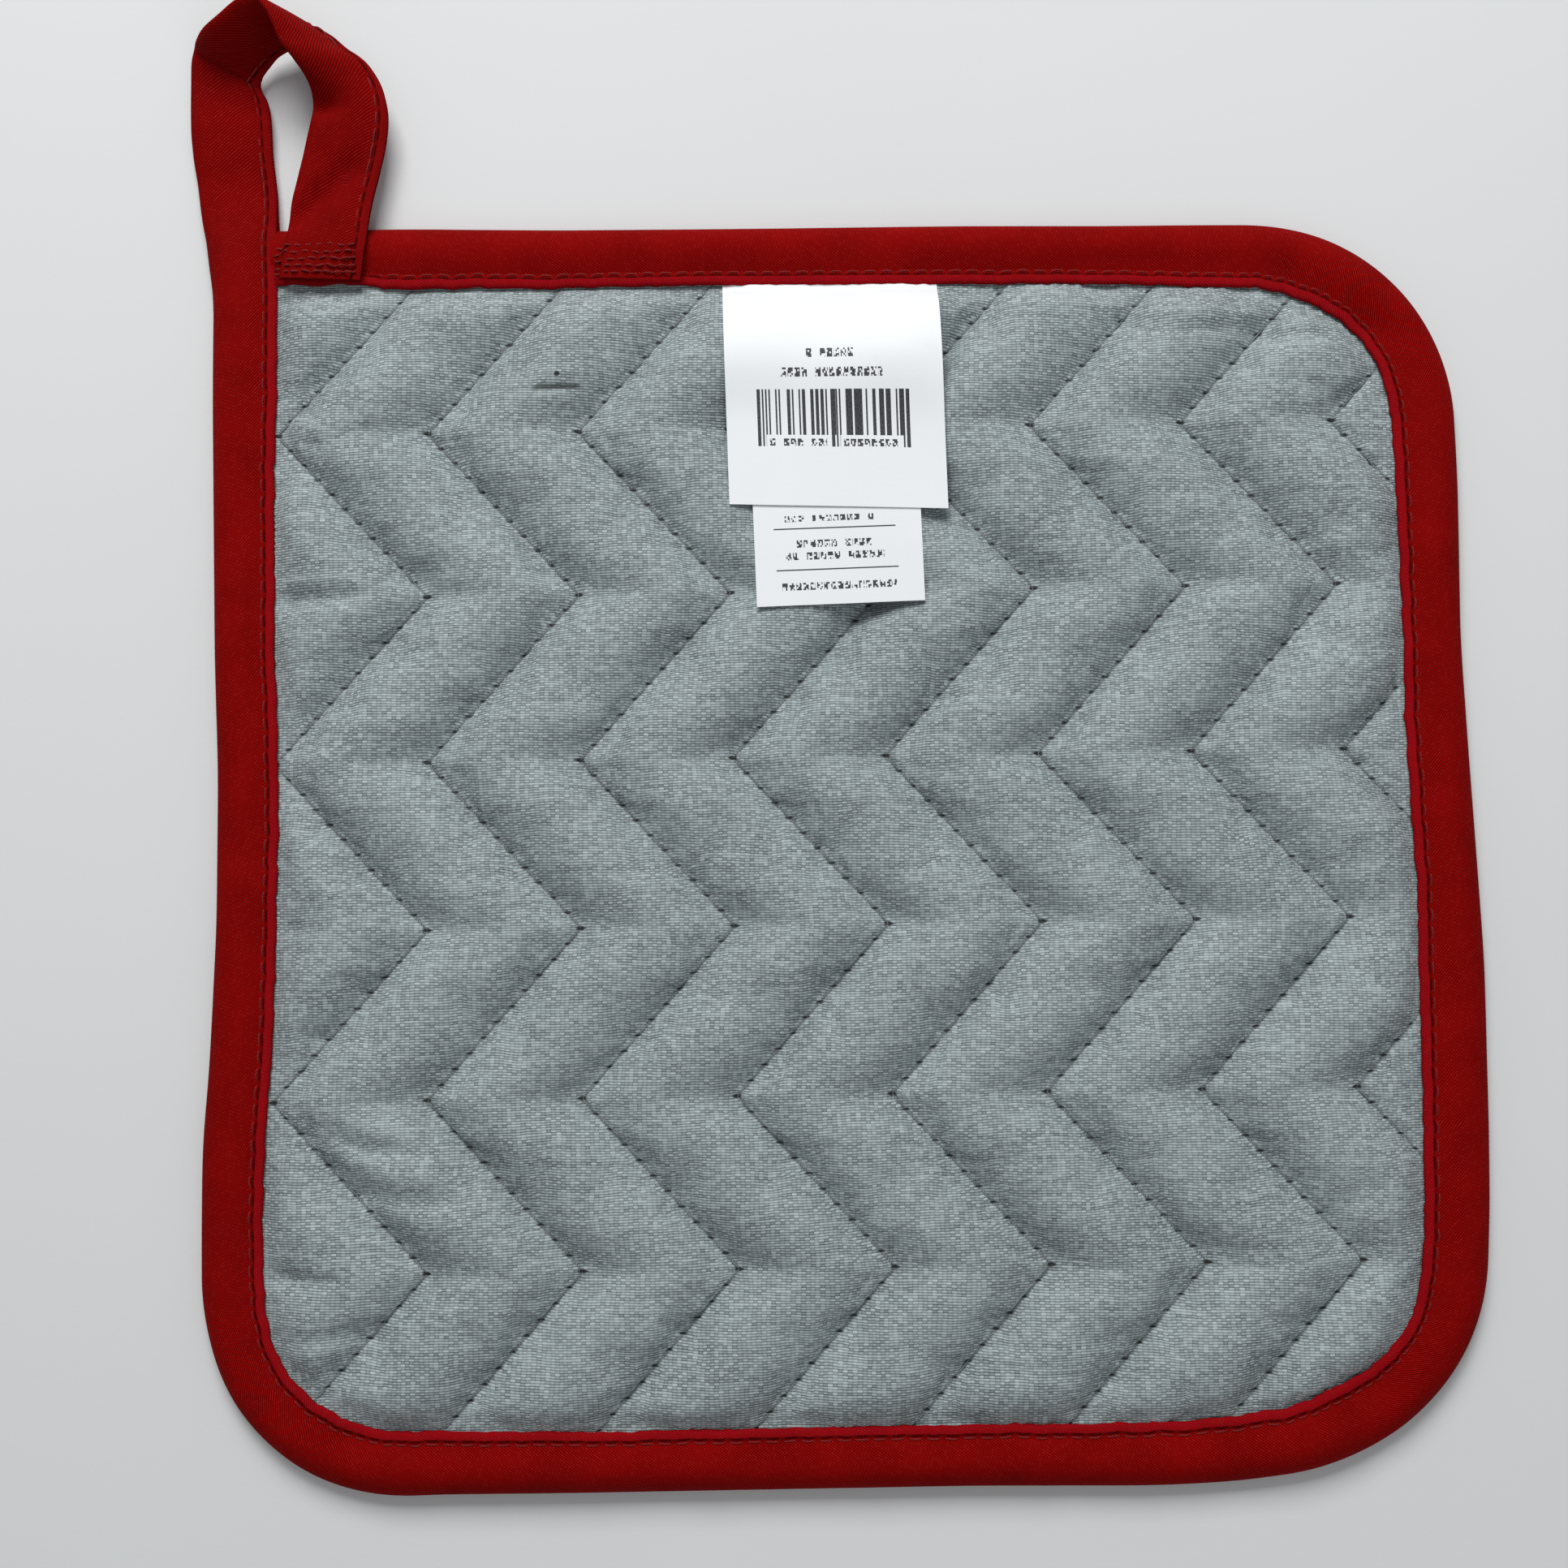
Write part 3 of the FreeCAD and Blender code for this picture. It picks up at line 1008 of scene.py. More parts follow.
@dataclass(frozen=True)
class RedTape:
    """Red twill bias tape with a brighter hem inside its row of stitches, and painted shade between its
    ribs, in its row of stitches and over the loop.

    Args:
        deep: painted shade between the ribs.
        rib: colour of the ribs.
        fleck: colour of the lightest floats.
        hem: colour of the hem strip.
        hem_rib_shade: painted shade between the ribs of the hem strip.
        groove_shade: painted shade down in the row of stitches.
        size: the tape's own sizes.
        stitch_line: distance of the stitches from the sewn edge, in millimetres.
        loop_from: distance along the tape where it becomes the loop, its hem stops standing out and painted
            shade darkens it.
    """

    deep: Colour = (0.080, 0.0008, 0.0007)
    rib: Colour = (0.300, 0.0022, 0.0018)
    fleck: Colour = (0.42, 0.016, 0.014)
    hem: Colour = (0.350, 0.0035, 0.0070)
    hem_rib_shade: Colour = (0.16, 0.002, 0.004)
    groove_shade: Colour = (0.020, 0.0004, 0.0006)
    size: TapeSize = TAPE
    stitch_line: float = 2.0
    loop_from: float = 752.0

    def material(self, effects: SharedEffects) -> bpy.types.Material:
        """Build the finish.

        Args:
            effects: the shared node groups.

        Returns:
            The material.
        """
        material, b = new_material("red_tape")
        place = b.uv(Map.TAPE)
        along, across = b.split(place)
        width = self.size.width
        edge = b.maths("SUBTRACT", width, b.maths("ABSOLUTE", b.maths("SUBTRACT", across, width)))
        twill = b.place(effects.twill, place=place, pitch=0.56, float=0.9)
        shade = b.place(effects.mottle, place=place, size=9.0).outputs["Shade"]
        uneven = b.maths("MULTIPLY_ADD", shade, 0.7, -0.36)
        lift = b.maths("MULTIPLY_ADD", twill.outputs["Height"], 1.12, uneven, clamp=True)
        # painted shade: the twill's low places take the colour between the ribs, mixed with a random mottle
        body = b.blend(lift, self.deep, self.rib)
        high = b.rise(twill.outputs["Height"], 0.55, 0.95)
        speck = b.maths("MULTIPLY", b.rise(twill.outputs["Fleck"], 0.50, 1.0), high)
        body = b.blend(b.maths("MULTIPLY", speck, 0.34), body, self.fleck)
        in_hem = b.maths("SUBTRACT", 1.0, b.rise(edge, self.stitch_line - 0.35, self.stitch_line - 0.05))
        # painted shade between the hem's ribs as well
        hem = b.blend(b.maths("MULTIPLY", speck, 0.35), b.blend(lift, self.hem_rib_shade, self.hem), self.fleck)
        on_loop = b.rise(along, self.loop_from, self.loop_from + 30.0)
        body = b.blend(b.maths("MULTIPLY", in_hem, b.maths("MULTIPLY_ADD", on_loop, -0.7, 1.0)), body, hem)
        # painted shade: the loop is darkened a fifth of the way towards the colour between the ribs
        body = b.blend(b.maths("MULTIPLY", on_loop, 0.20), body, self.deep)
        # painted shade down along the row of stitches, darker in dashes where the thread sinks
        groove_shade = b.between(edge, self.stitch_line - 0.22, self.stitch_line + 0.30, 0.16)
        dash = b.between(b.maths("FRACT", b.maths("DIVIDE", along, self.size.stitch)), 0.12, 0.80, 0.12)
        dark = b.maths("MULTIPLY", groove_shade, b.maths("MULTIPLY_ADD", dash, 0.45, 0.30))
        colour = b.blend(dark, body, self.groove_shade)
        height = b.maths("SUBTRACT", twill.outputs["Height"], b.maths("MULTIPLY", dark, 1.6))
        b.surface(colour, 0.82, height, depth=0.10, strength=0.6, Specular_IOR_Level=0.03)
        return material


@dataclass(frozen=True)
class SewingThread:
    """Two-ply thread.

    Args:
        name: the finish's name.
        light: colour on top of a ply.
        dark: painted shade between the plies.
    """

    name: str
    light: Colour
    dark: Colour

    def material(self, effects: SharedEffects) -> bpy.types.Material:
        """Build the finish.

        Args:
            effects: the shared node groups.

        Returns:
            The material.
        """
        material, b = new_material(self.name)
        place = b.uv(Map.THREAD)
        twist = b.place(effects.twill, place=place, pitch=0.42, float=2.0)
        # painted shade between the plies, following the twist's height
        colour = b.blend(twist.outputs["Height"], self.dark, self.light)
        b.surface(colour, 0.6, twist.outputs["Height"], depth=0.05, strength=0.6, Specular_IOR_Level=0.12)
        return material


@dataclass(frozen=True)
class PlainCotton:
    """Unbleached cotton of the under side, a plain weave with small slubs.

    Args:
        light: colour of a raised yarn.
        dark: painted shade between the yarns.
        hole: painted shade inside a needle hole.
        pitch: spacing of its yarns, in millimetres.
    """

    light: Colour = (0.66, 0.63, 0.57)
    dark: Colour = (0.30, 0.28, 0.24)
    hole: Colour = (0.05, 0.045, 0.04)
    pitch: float = 0.46

    def material(self, effects: SharedEffects) -> bpy.types.Material:
        """Build the finish.

        Args:
            effects: the shared node groups.

        Returns:
            The material.
        """
        material, b = new_material("plain_cotton")
        place = b.uv(Map.CLOTH)
        weave = b.place(effects.weave, place=place, warp=self.pitch, weft=self.pitch, slub=2.4, ribbed=0.0)
        shade = b.place(effects.mottle, place=place, size=20.0).outputs["Shade"]
        slow = b.maths("MULTIPLY", shade, 0.5)
        lift = b.maths("MULTIPLY_ADD", weave.outputs["Height"], 0.6, slow)
        lift = b.maths("ADD", lift, b.maths("MULTIPLY_ADD", weave.outputs["Yarn"], 0.2, -0.15), clamp=True)
        hole = SilverCloth.needle_hole_shade(b)
        # painted shade between the yarns, mixed with random tone, and in the needle holes
        colour = b.blend(hole, b.blend(lift, self.dark, self.light), self.hole)
        b.surface(colour, 0.85, weave.outputs["Height"], depth=0.10, strength=0.5, Sheen_Weight=0.15)
        return material


@dataclass(frozen=True)
class Wadding:
    """Needled white padding.

    Args:
        white: colour of the tufts.
        shade: colour between them.
    """

    white: Colour = (0.80, 0.79, 0.76)
    shade: Colour = (0.55, 0.54, 0.51)

    def material(self, effects: SharedEffects) -> bpy.types.Material:
        """Build the finish.

        Args:
            effects: the shared node groups.

        Returns:
            The material.
        """
        material, b = new_material("wadding")
        place = b.uv(Map.CLOTH)
        tuft = b.noise(place, 0.9, 5.0)
        slow = b.place(effects.mottle, place=place, size=6.0).outputs["Shade"]
        lift = b.maths("MULTIPLY_ADD", tuft, 0.6, b.maths("MULTIPLY", slow, 0.4))
        colour = b.blend(lift, self.shade, self.white)
        b.surface(colour, 0.95, tuft, depth=0.3, strength=0.7, Sheen_Weight=0.3)
        return material


@dataclass(frozen=True)
class PrintBlock:
    """A block of plain marks on a label, in millimetres from its top left corner.

    Args:
        kind: upright bars, rows of unreadable marks or a thin line.
        left: left side.
        top: upper side.
        width: width.
        height: height.
        bar: width of the narrowest bar.
        letter: width of one unreadable letter with its gap.
        stroke: width and height of the smallest mark in a letter.
    """

    kind: Print
    left: float
    top: float
    width: float
    height: float
    bar: float = 0.27
    letter: float = 1.12
    stroke: tuple[float, float] = (0.25, 0.31)

    def inked(self, b: Bench, x: Socket, y: Socket) -> object:
        """1 where this block is inked and 0 elsewhere, inside its own limits or not.

        Args:
            b: the material's bench.
            x: millimetres from the label's left side.
            y: millimetres from its upper side.

        Returns:
            The mask.
        """
        over = b.maths("SUBTRACT", x, self.left)
        if self.kind is Print.RULE:
            return 1.0
        if self.kind is Print.BARS:
            cell = b.maths("DIVIDE", over, self.bar)
            even = b.maths("LESS_THAN", b.maths("FLOORED_MODULO", cell, 2.0), 1.0)
            share = b.maths("MULTIPLY_ADD", even, -0.58, 0.84)
            return b.maths("LESS_THAN", b.dice(cell, self.left), share)
        across = b.maths("MULTIPLY_ADD", over, 1 / self.stroke[0], 41.0 * self.top)
        stroke = b.dice(across, b.maths("DIVIDE", b.maths("SUBTRACT", y, self.top), self.stroke[1]))
        letter = b.maths("FRACT", b.maths("DIVIDE", over, self.letter))
        gap = b.dice(b.maths("DIVIDE", over, self.letter), self.top * 3.1 + self.left)
        seen = b.maths("MULTIPLY", b.maths("LESS_THAN", gap, 0.88), b.maths("LESS_THAN", letter, 0.78))
        return b.maths("MULTIPLY", b.maths("LESS_THAN", stroke, 0.62), seen)


@dataclass(frozen=True)
class LabelCloth:
    """Smooth white printed label with bars, rules or rows of unreadable marks instead of words.

    Args:
        name: the finish's name.
        blocks: the printed blocks.
        white: colour of the cloth.
        ink: colour of the print.
        yarn: spacing of its fine weave, in millimetres.
    """

    name: str
    blocks: tuple[PrintBlock, ...]
    white: Colour = (0.905, 0.925, 0.94)
    ink: Colour = (0.020, 0.022, 0.028)
    yarn: float = 0.22

    def material(self, effects: SharedEffects) -> bpy.types.Material:
        """Build the finish.

        Args:
            effects: the shared node groups.

        Returns:
            The material.
        """
        material, b = new_material(self.name)
        place = b.uv(Map.LABEL)
        x, y = b.split(place)
        inked: object = 0.0
        for block in self.blocks:
            wide = b.between(x, block.left, block.left + block.width, 0.02)
            high = b.between(y, block.top, block.top + block.height, 0.03)
            inside = b.maths("MULTIPLY", wide, high)
            inked = b.maths("MAXIMUM", inked, b.maths("MULTIPLY", block.inked(b, x, y), inside))
        weave = b.place(effects.weave, place=place, warp=self.yarn, weft=self.yarn, slub=0.3, ribbed=0.0)
        shade = b.place(effects.mottle, place=place, size=12.0).outputs["Shade"]
        tone = b.maths("MULTIPLY_ADD", shade, 0.30, b.maths("MULTIPLY", weave.outputs["Height"], 0.12))
        cloth = b.blend(tone, self.white, tuple(0.86 * c for c in self.white))
        wear = b.maths("MULTIPLY_ADD", b.noise(place, 3.0), 0.16, 0.90)
        faded = b.maths("MULTIPLY", inked, wear, clamp=True)
        b.surface(b.blend(faded, cloth, self.ink), 0.55, weave.outputs["Height"], depth=0.04, strength=0.25,
                  Specular_IOR_Level=0.4)
        return material


@dataclass(frozen=True)
class TableTop:
    """Plain pale surface that the holder lies on.

    Args:
        tone: its colour.
    """

    tone: Colour = (0.74, 0.75, 0.75)

    def material(self) -> bpy.types.Material:
        """Build the finish.

        Returns:
            The material.
        """
        material, b = new_material("table_top")
        place = b.add("ShaderNodeTexCoord").outputs["Object"]
        grain = b.noise(place, 900.0, 3.0)
        cloudy = b.noise(place, 14.0, 3.0)
        colour = b.blend(b.maths("MULTIPLY", cloudy, 0.5), self.tone, tuple(0.93 * c for c in self.tone))
        b.surface(colour, 0.9, grain, depth=0.15, strength=0.12)
        return material


# ---------------------------------------------------------------- the quilted square


@dataclass(frozen=True)
class Crease:
    """A short wrinkle in the face cloth, in millimetres.

    Args:
        x: its middle, across.
        y: its middle, up.
        length: how long it is.
        angle: its direction, in degrees from +X.
        depth: how deep it is.
        width: how wide it is.
    """

    x: float
    y: float
    length: float
    angle: float
    depth: float
    width: float = 1.1

    def dip(self, x: Array, y: Array) -> Array:
        """How far the wrinkle lowers the cloth, with a small ridge on either side.

        Args:
            x: points, across.
            y: points, up.

        Returns:
            The depths.
        """
        turn = math.radians(self.angle)
        along = (x - self.x) * math.cos(turn) + (y - self.y) * math.sin(turn)
        off = (y - self.y) * math.cos(turn) - (x - self.x) * math.sin(turn)
        off = off - 0.012 * along ** 2
        reach = np.exp(-(along / (0.55 * self.length)) ** 4)
        ridges = np.exp(-((np.abs(off) - 2 * self.width) / self.width) ** 2)
        return self.depth * reach * (np.exp(-(off / self.width) ** 2) - 0.45 * ridges)


@dataclass
class QuiltedPad:
    """The padded sandwich: face cloth, wadding and front cloth, drawn down along the chevron lines.

    Args:
        outline: the square.
        edge: how its edges stray.
        quilt: the chevron lines.
        edge_z: height of the face cloth under the binding and at the stitching, in millimetres.
        puff: how far a puff stands above the stitching.
        fade: width over which the puffs die away at the binding.
        cells_step: cells between two lines.
        cells_row: cells in one leg's height.
        cloth_t: thickness of the face cloth.
        front_t: thickness of the front cloth.
        cloth_margin: how far inside the binding's outer edge the cloths end.
        wadding_margin: the same for the padding.
        wadding_drop: how far below the face cloth the padding lies at the stitching.
        puff_drop: how much farther below it lies inside a puff.
        wadding_rise: how far above the front cloth it lies.
        thread_radius: half the thickness of the quilting thread.
        creases: wrinkles of the face cloth.
    """

    outline: Outline = OUTLINE
    edge: EdgeShape = EDGE
    quilt: Quilting = QUILT
    edge_z: float = 3.35
    puff: float = 3.2
    fade: float = 6.0
    cells_step: int = 24
    cells_row: int = 26
    cloth_t: float = 0.45
    front_t: float = 0.4
    cloth_margin: float = 2.5
    wadding_margin: float = 3.5
    wadding_drop: float = 1.35
    puff_drop: float = 0.45
    wadding_rise: float = 0.55
    thread_radius: float = 0.15
    creases: tuple[Crease, ...] = tuple(Crease(*row) for row in (
        (-45.3, 74.1, 7.5, 3, 0.60, 0.8), (-84.0, 39.6, 17.0, 1, 0.85, 1.4),
        (-65.5, 44.6, 9.0, 18, 0.45, 1.4), (-87.0, 66.5, 8.0, -25, 0.35),
        (-77.0, 66.0, 14.0, 2, 0.40, 1.6), (-74.8, -47.7, 13.0, -11, 0.85, 1.5),
        (-69.8, -55.9, 15.0, -6, 0.80, 1.6), (-86.0, -68.6, 12.0, -6, 0.75, 1.3),
        (-84.0, -77.3, 13.0, 4, 0.50, 1.4), (57.5, 82.2, 26.0, -2, 0.70, 1.2),
        (74.0, 80.8, 13.0, -4, 0.90, 1.2), (75.6, 72.9, 9.0, -12, 0.60),
        (84.0, 71.5, 10.0, 30, 0.40), (86.5, 60.5, 13.0, -8, 0.45), (88.0, 19.0, 9.0, 30, 0.35),
        (22.0, -83.5, 17.0, -5, 0.45), (40.0, -79.0, 10.0, 12, 0.30), (84.5, -40.0, 12.0, 35, 0.40),
        (60.0, -65.0, 14.0, -6, 0.30), (30.0, 12.5, 12.0, 3, 0.22), (-20.0, -67.0, 14.0, 2, 0.22),
        (6.0, -13.0, 13.0, -3, 0.20),
    ))

    def columns(self, fine: int) -> tuple[float, float, int]:
        """First and last place of the sheared grid's columns, and its number of cells.

        Args:
            fine: cells in each step of the grid.

        Returns:
            First place, last place and number of cells.
        """
        start = self.quilt.first_x - self.quilt.step * 2
        count = self.quilt.lines + 3
        return start, start + count * self.quilt.step, count * fine

    def rows(self, fine: int) -> tuple[float, float, int]:
        """First and last height of the grid's rows, and its number of cells.

        Args:
            fine: cells in each step of the grid.

        Returns:
            First height, last height and number of cells.
        """
        top = self.quilt.first_y + 2 * self.quilt.row
        count = 9
        return top, top - count * self.quilt.row, count * fine

    def flat_points(self, u: Array, v: Array) -> tuple[Array, Array]:
        """Where the grid's corners lie in plan, with its columns running down the zigzags.

        Args:
            u: share of the way over, for each corner.
            v: share of the way along, for each corner.

        Returns:
            The places across and up.
        """
        x0, x1, _ = self.columns(1)
        y0, y1, _ = self.rows(1)
        y = y0 + (y1 - y0) * v
        return x0 + (x1 - x0) * u + self.quilt.swing(y), y

    def seam_offset(self, x: Array, y: Array) -> Array:
        """Distance from the nearest quilting line, square to it, signed.

        Args:
            x: points, across.
            y: points, up.

        Returns:
            The distances.
        """
        share = (x - self.quilt.swing(y) - self.quilt.first_x) / self.quilt.step
        near = np.clip(np.rint(share), 0, self.quilt.lines - 1)
        return (share - near) * self.quilt.step * self.quilt.lean()

    def stitch_wave(self, y: Array) -> Array:
        """1 at each needle hole along a line and 0 halfway between two."""
        return at_needle(self.quilt.along(y), self.quilt.stitch)

    def seam_layout(self, u: Array, v: Array) -> Array:
        """UV rule: distance off the nearest line and along it."""
        x, y = self.flat_points(u, v)
        return np.column_stack((self.seam_offset(x, y), self.quilt.along(y)))

    def cloth_layout(self, u: Array, v: Array) -> Array:
        """UV rule: the cloth's own plan."""
        return np.column_stack(self.flat_points(u, v))

    def edge_fade(self, x: Array, y: Array) -> Array:
        """0 under the binding, rising to 1 where the puffs are full."""
        t = np.clip((self.edge.inside(x, y) - 0.2) / self.fade, 0, 1)
        return np.sin(t * math.pi / 2) ** 0.9

    def upper_z(self, x: Array, y: Array) -> Array:
        """Height of the quilted face before it is inflated.

        Args:
            x: points, across.
            y: points, up.

        Returns:
            The heights.
        """
        half = self.quilt.step * self.quilt.lean() / 2
        share = np.clip(np.abs(self.seam_offset(x, y)) / half, 0, 1)
        arch = (1 - (1 - share) ** 2.3) ** 0.72
        uneven = 1 + 0.10 * smooth_noise(x, y, 30, 3)
        dip = 0.30 * self.stitch_wave(y) * np.exp(-(self.seam_offset(x, y) / 1.0) ** 2)
        return self.edge_z + (self.puff * arch * uneven - dip) * self.edge_fade(x, y)

    def lower_z(self, x: Array, y: Array) -> Array:
        """Height of the under side: flat on the table, drawn up along the lines.

        Args:
            x: points, across.
            y: points, up.

        Returns:
            The heights.
        """
        off = self.seam_offset(x, y)
        drawn = 0.85 * np.exp(-(np.abs(off) / 1.9) ** 1.3) + 0.15 * self.stitch_wave(y) * np.exp(-off ** 2)
        inside = np.clip(self.edge.inside(x, y) / 2.0, 0, 1)
        ripple = 0.05 * (1 + smooth_noise(x, y, 12, 8))
        return 0.95 * (1 - inside) + (0.06 + drawn + ripple) * inside

    def wadding_z(self, x: Array, y: Array) -> Array:
        """Height of the padding's upper side.

        Args:
            x: points, across.
            y: points, up.

        Returns:
            The heights.
        """
        creased = sum(np.clip(c.dip(x, y), 0, None) for c in self.creases)
        z = self.upper_z(x, y) - self.wadding_drop - self.puff_drop * self.edge_fade(x, y)
        return z - 1.2 * creased

    def keep_inside(self, margin: float) -> Placer:
        """Rule that keeps corners at least this far inside the binding's outer edge.

        Args:
            margin: the distance.

        Returns:
            The rule.
        """
        def keep(u: Array, v: Array) -> Array:
            """True where the corner stays."""
            return self.edge.within(*self.flat_points(u, v)) > margin
        return keep

    def build_face(self) -> Piece:
        """The silver face cloth, inflated between its stitching by a cloth simulation.

        Returns:
            The cloth.
        """
        def place(u: Array, v: Array) -> Array:
            """Puffed start of the cloth."""
            x, y = self.flat_points(u, v)
            return np.column_stack((x, y, self.upper_z(x, y)))

        maps = {Map.CLOTH: self.cloth_layout, Map.SEAM: self.seam_layout}
        across, down = self.columns(self.cells_step)[2], self.rows(self.cells_row)[2]
        face = laid_grid("quilted_face", across, down, place, maps, keep=self.keep_inside(self.cloth_margin))
        face_up(face, up=True)
        self.soften(face, 4)
        self.soften(face, 12, corners_only=True)
        self.inflate(face)
        self.soften(face, 3)
        self.soften(face, 10, corners_only=True)
        self.settle(face)
        give_thickness(face, self.cloth_t, -1)
        return face

    def to_corner(self, y: Array) -> Array:
        """Distance up or down from the nearest row of zigzag corners."""
        return np.abs(((self.quilt.first_y - y) / self.quilt.row + 0.5) % 1.0 - 0.5) * self.quilt.row

    def soften(self, face: Piece, times: int, corners_only: bool = False) -> None:
        """Round off the puffs between their stitching.

        Args:
            face: the cloth.
            times: how often the smoothing is repeated.
            corners_only: keep to the places near the rows of zigzag corners.
        """
        bm = bmesh.new()
        bm.from_mesh(face.data)
        plan = np.array([v.co for v in bm.verts]) / MM
        free = (np.abs(self.seam_offset(plan[:, 0], plan[:, 1])) > 1.3) & (
            self.edge.inside(plan[:, 0], plan[:, 1]) > 0.8)
        if corners_only:
            free &= self.to_corner(plan[:, 1]) < 5.5
        loose = [v for v, moves in zip(bm.verts, free) if moves]
        for _ in range(times):
            bmesh.ops.smooth_vert(bm, verts=loose, factor=0.6, use_axis_z=True)
        bm.to_mesh(face.data)
        bm.free()

    def inflate(self, face: Piece) -> None:
        """Let the cloth grow and puff up, held along its stitching and under the binding.

        Args:
            face: the cloth; its vertices are moved by what the simulation gives.
        """
        scale_up = 25.0
        frames = 20
        tight, free_side = 0.05, 0.5
        lowest, highest = -0.8, 0.9
        start = vertex_points(face)
        x, y = start[:, 0], start[:, 1]
        held = (np.abs(self.seam_offset(x, y)) < tight) | (self.edge.inside(x, y) < 0.4)
        trial = bpy.data.objects.new("trial_cloth", face.data.copy())
        bpy.context.scene.collection.objects.link(trial)
        trial.data.transform(Matrix.Scale(scale_up, 4))
        group = trial.vertex_groups.new(name="held")
        group.add([int(i) for i in np.nonzero(held)[0]], 1.0, "REPLACE")
        cloth = trial.modifiers.new("cloth", "CLOTH")
        rules = cloth.settings
        rules.quality = 6
        rules.mass = 0.3
        rules.tension_stiffness = rules.compression_stiffness = 25
        rules.shear_stiffness = 12
        rules.bending_stiffness = 1.2
        rules.vertex_group_mass = "held"
        rules.shrink_min = rules.shrink_max = -0.035
        rules.use_pressure = True
        rules.uniform_pressure_force = 2.5
        rules.effector_weights.gravity = 0
        cloth.collision_settings.use_collision = False
        cloth.point_cache.frame_start = 1
        cloth.point_cache.frame_end = 24
        scene = bpy.context.scene
        for number in range(1, frames + 1):
            scene.frame_set(number)
        done = trial.evaluated_get(bpy.context.evaluated_depsgraph_get())
        grown = np.array([v.co for v in done.data.vertices]) / (scale_up * MM)
        move = grown - start
        move[:, :2] = np.clip(move[:, :2], -free_side, free_side)
        move[:, 2] = np.clip(move[:, 2], lowest, highest)
        set_vertex_points(face, start + move)
        LOG.info("face cloth simulated, mean rise %.2f mm", float(move[:, 2].mean()))
        scene.frame_set(1)
        bpy.data.objects.remove(trial)

    def settle(self, face: Piece) -> None:
        """Add the small pulls of the stitching and the wrinkles.

        Args:
            face: the cloth, whose vertices are moved.
        """
        points = vertex_points(face)
        x, y = points[:, 0], points[:, 1]
        side = np.sign(self.seam_offset(x, y))
        off = np.abs(self.seam_offset(x, y))
        fade = self.edge_fade(x, y)
        pulls = np.sin(2 * math.pi * self.quilt.along(y) / self.quilt.stitch + 0.8 * side)
        ripple = 0.10 * pulls * np.exp(-((off - 1.6) / 1.5) ** 2)
        near_corner = np.exp(-(self.to_corner(y) / 3.0) ** 2 - (off / 5.0) ** 2)
        pucker = 0.06 * np.cos(2 * math.pi * y / 2.6) * near_corner
        points[:, 2] += (ripple + pucker) * fade
        for crease in self.creases:
            points[:, 2] -= crease.dip(x, y) * np.clip(fade * 1.5, 0, 1)
        set_vertex_points(face, points)

    def build_wadding(self) -> Piece:
        """The padding between the cloths, a closed form just inside them.

        Returns:
            The padding.
        """
        def place(u: Array, v: Array) -> Array:
            """Upper side of the padding."""
            x, y = self.flat_points(u, v)
            return np.column_stack((x, y, self.wadding_z(x, y)))

        wadding = laid_grid("wadding_fill", self.columns(6)[2], self.rows(6)[2], place,
                            {Map.CLOTH: self.cloth_layout}, keep=self.keep_inside(self.wadding_margin))
        bm = bmesh.new()
        bm.from_mesh(wadding.data)
        made = bmesh.ops.extrude_face_region(bm, geom=bm.faces[:])
        low = [g for g in made["geom"] if isinstance(g, bmesh.types.BMVert)]
        plan = np.array([v.co for v in low]) / MM
        bottom = self.lower_z(plan[:, 0], plan[:, 1]) + self.wadding_rise
        for vert, z in zip(low, bottom):
            vert.co.z = min(z * MM, vert.co.z - 0.1 * MM)
        bmesh.ops.recalc_face_normals(bm, faces=bm.faces)
        bm.to_mesh(wadding.data)
        bm.free()
        return wadding

    def build_front(self) -> Piece:
        """The cotton cloth of the under side.

        Returns:
            The cloth.
        """
        def place(u: Array, v: Array) -> Array:
            """Drawn up along the lines, flat elsewhere."""
            x, y = self.flat_points(u, v)
            return np.column_stack((x, y, self.lower_z(x, y)))

        maps = {Map.CLOTH: self.cloth_layout, Map.SEAM: self.seam_layout}
        front = laid_grid("front_cloth_sheet", self.columns(16)[2], self.rows(18)[2], place, maps,
                          keep=self.keep_inside(self.cloth_margin))
        face_up(front, up=False)
        give_thickness(front, self.front_t, -1)
        return front

    def build_row(self, number: int, side: Side) -> Piece:
        """One chevron row of stitches.

        Args:
            number: the line, from 1 at the left.
            side: upper side or under side.

        Returns:
            The thread that dips into the cloth at each needle hole.
        """
        q = self.quilt
        rise = q.stitch / 8 * q.lean()
        reach = self.outline.half - self.outline.show
        y = np.arange(reach - 0.3, -reach, -rise)
        x = q.first_x + (number - 1) * q.step + q.swing(y)
        depth = self.edge.inside(x, y)
        dive = self.stitch_wave(y) ** 3
        if side is Side.UPPER:
            z = self.edge_z + 0.02 - 0.42 * dive
        else:
            z = self.lower_z(x, y) - 0.03 + 0.45 * dive
        path = np.column_stack((x, y, z))
        parts = []
        cuts = np.nonzero(np.diff((depth > 0.1).astype(int)))[0] + 1
        for piece in np.split(np.arange(len(y)), cuts):
            if len(piece) > 6 and depth[piece[len(piece) // 2]] > 0.1:
                parts.append(thread_tube(f"thread_part_{len(parts)}", path[piece], self.thread_radius))
        kind = "needle" if side is Side.UPPER else "bobbin"
        return join_pieces(parts, f"quilt_{kind}_stitches_{number}")


# ---------------------------------------------------------------- the red tape: binding and loop


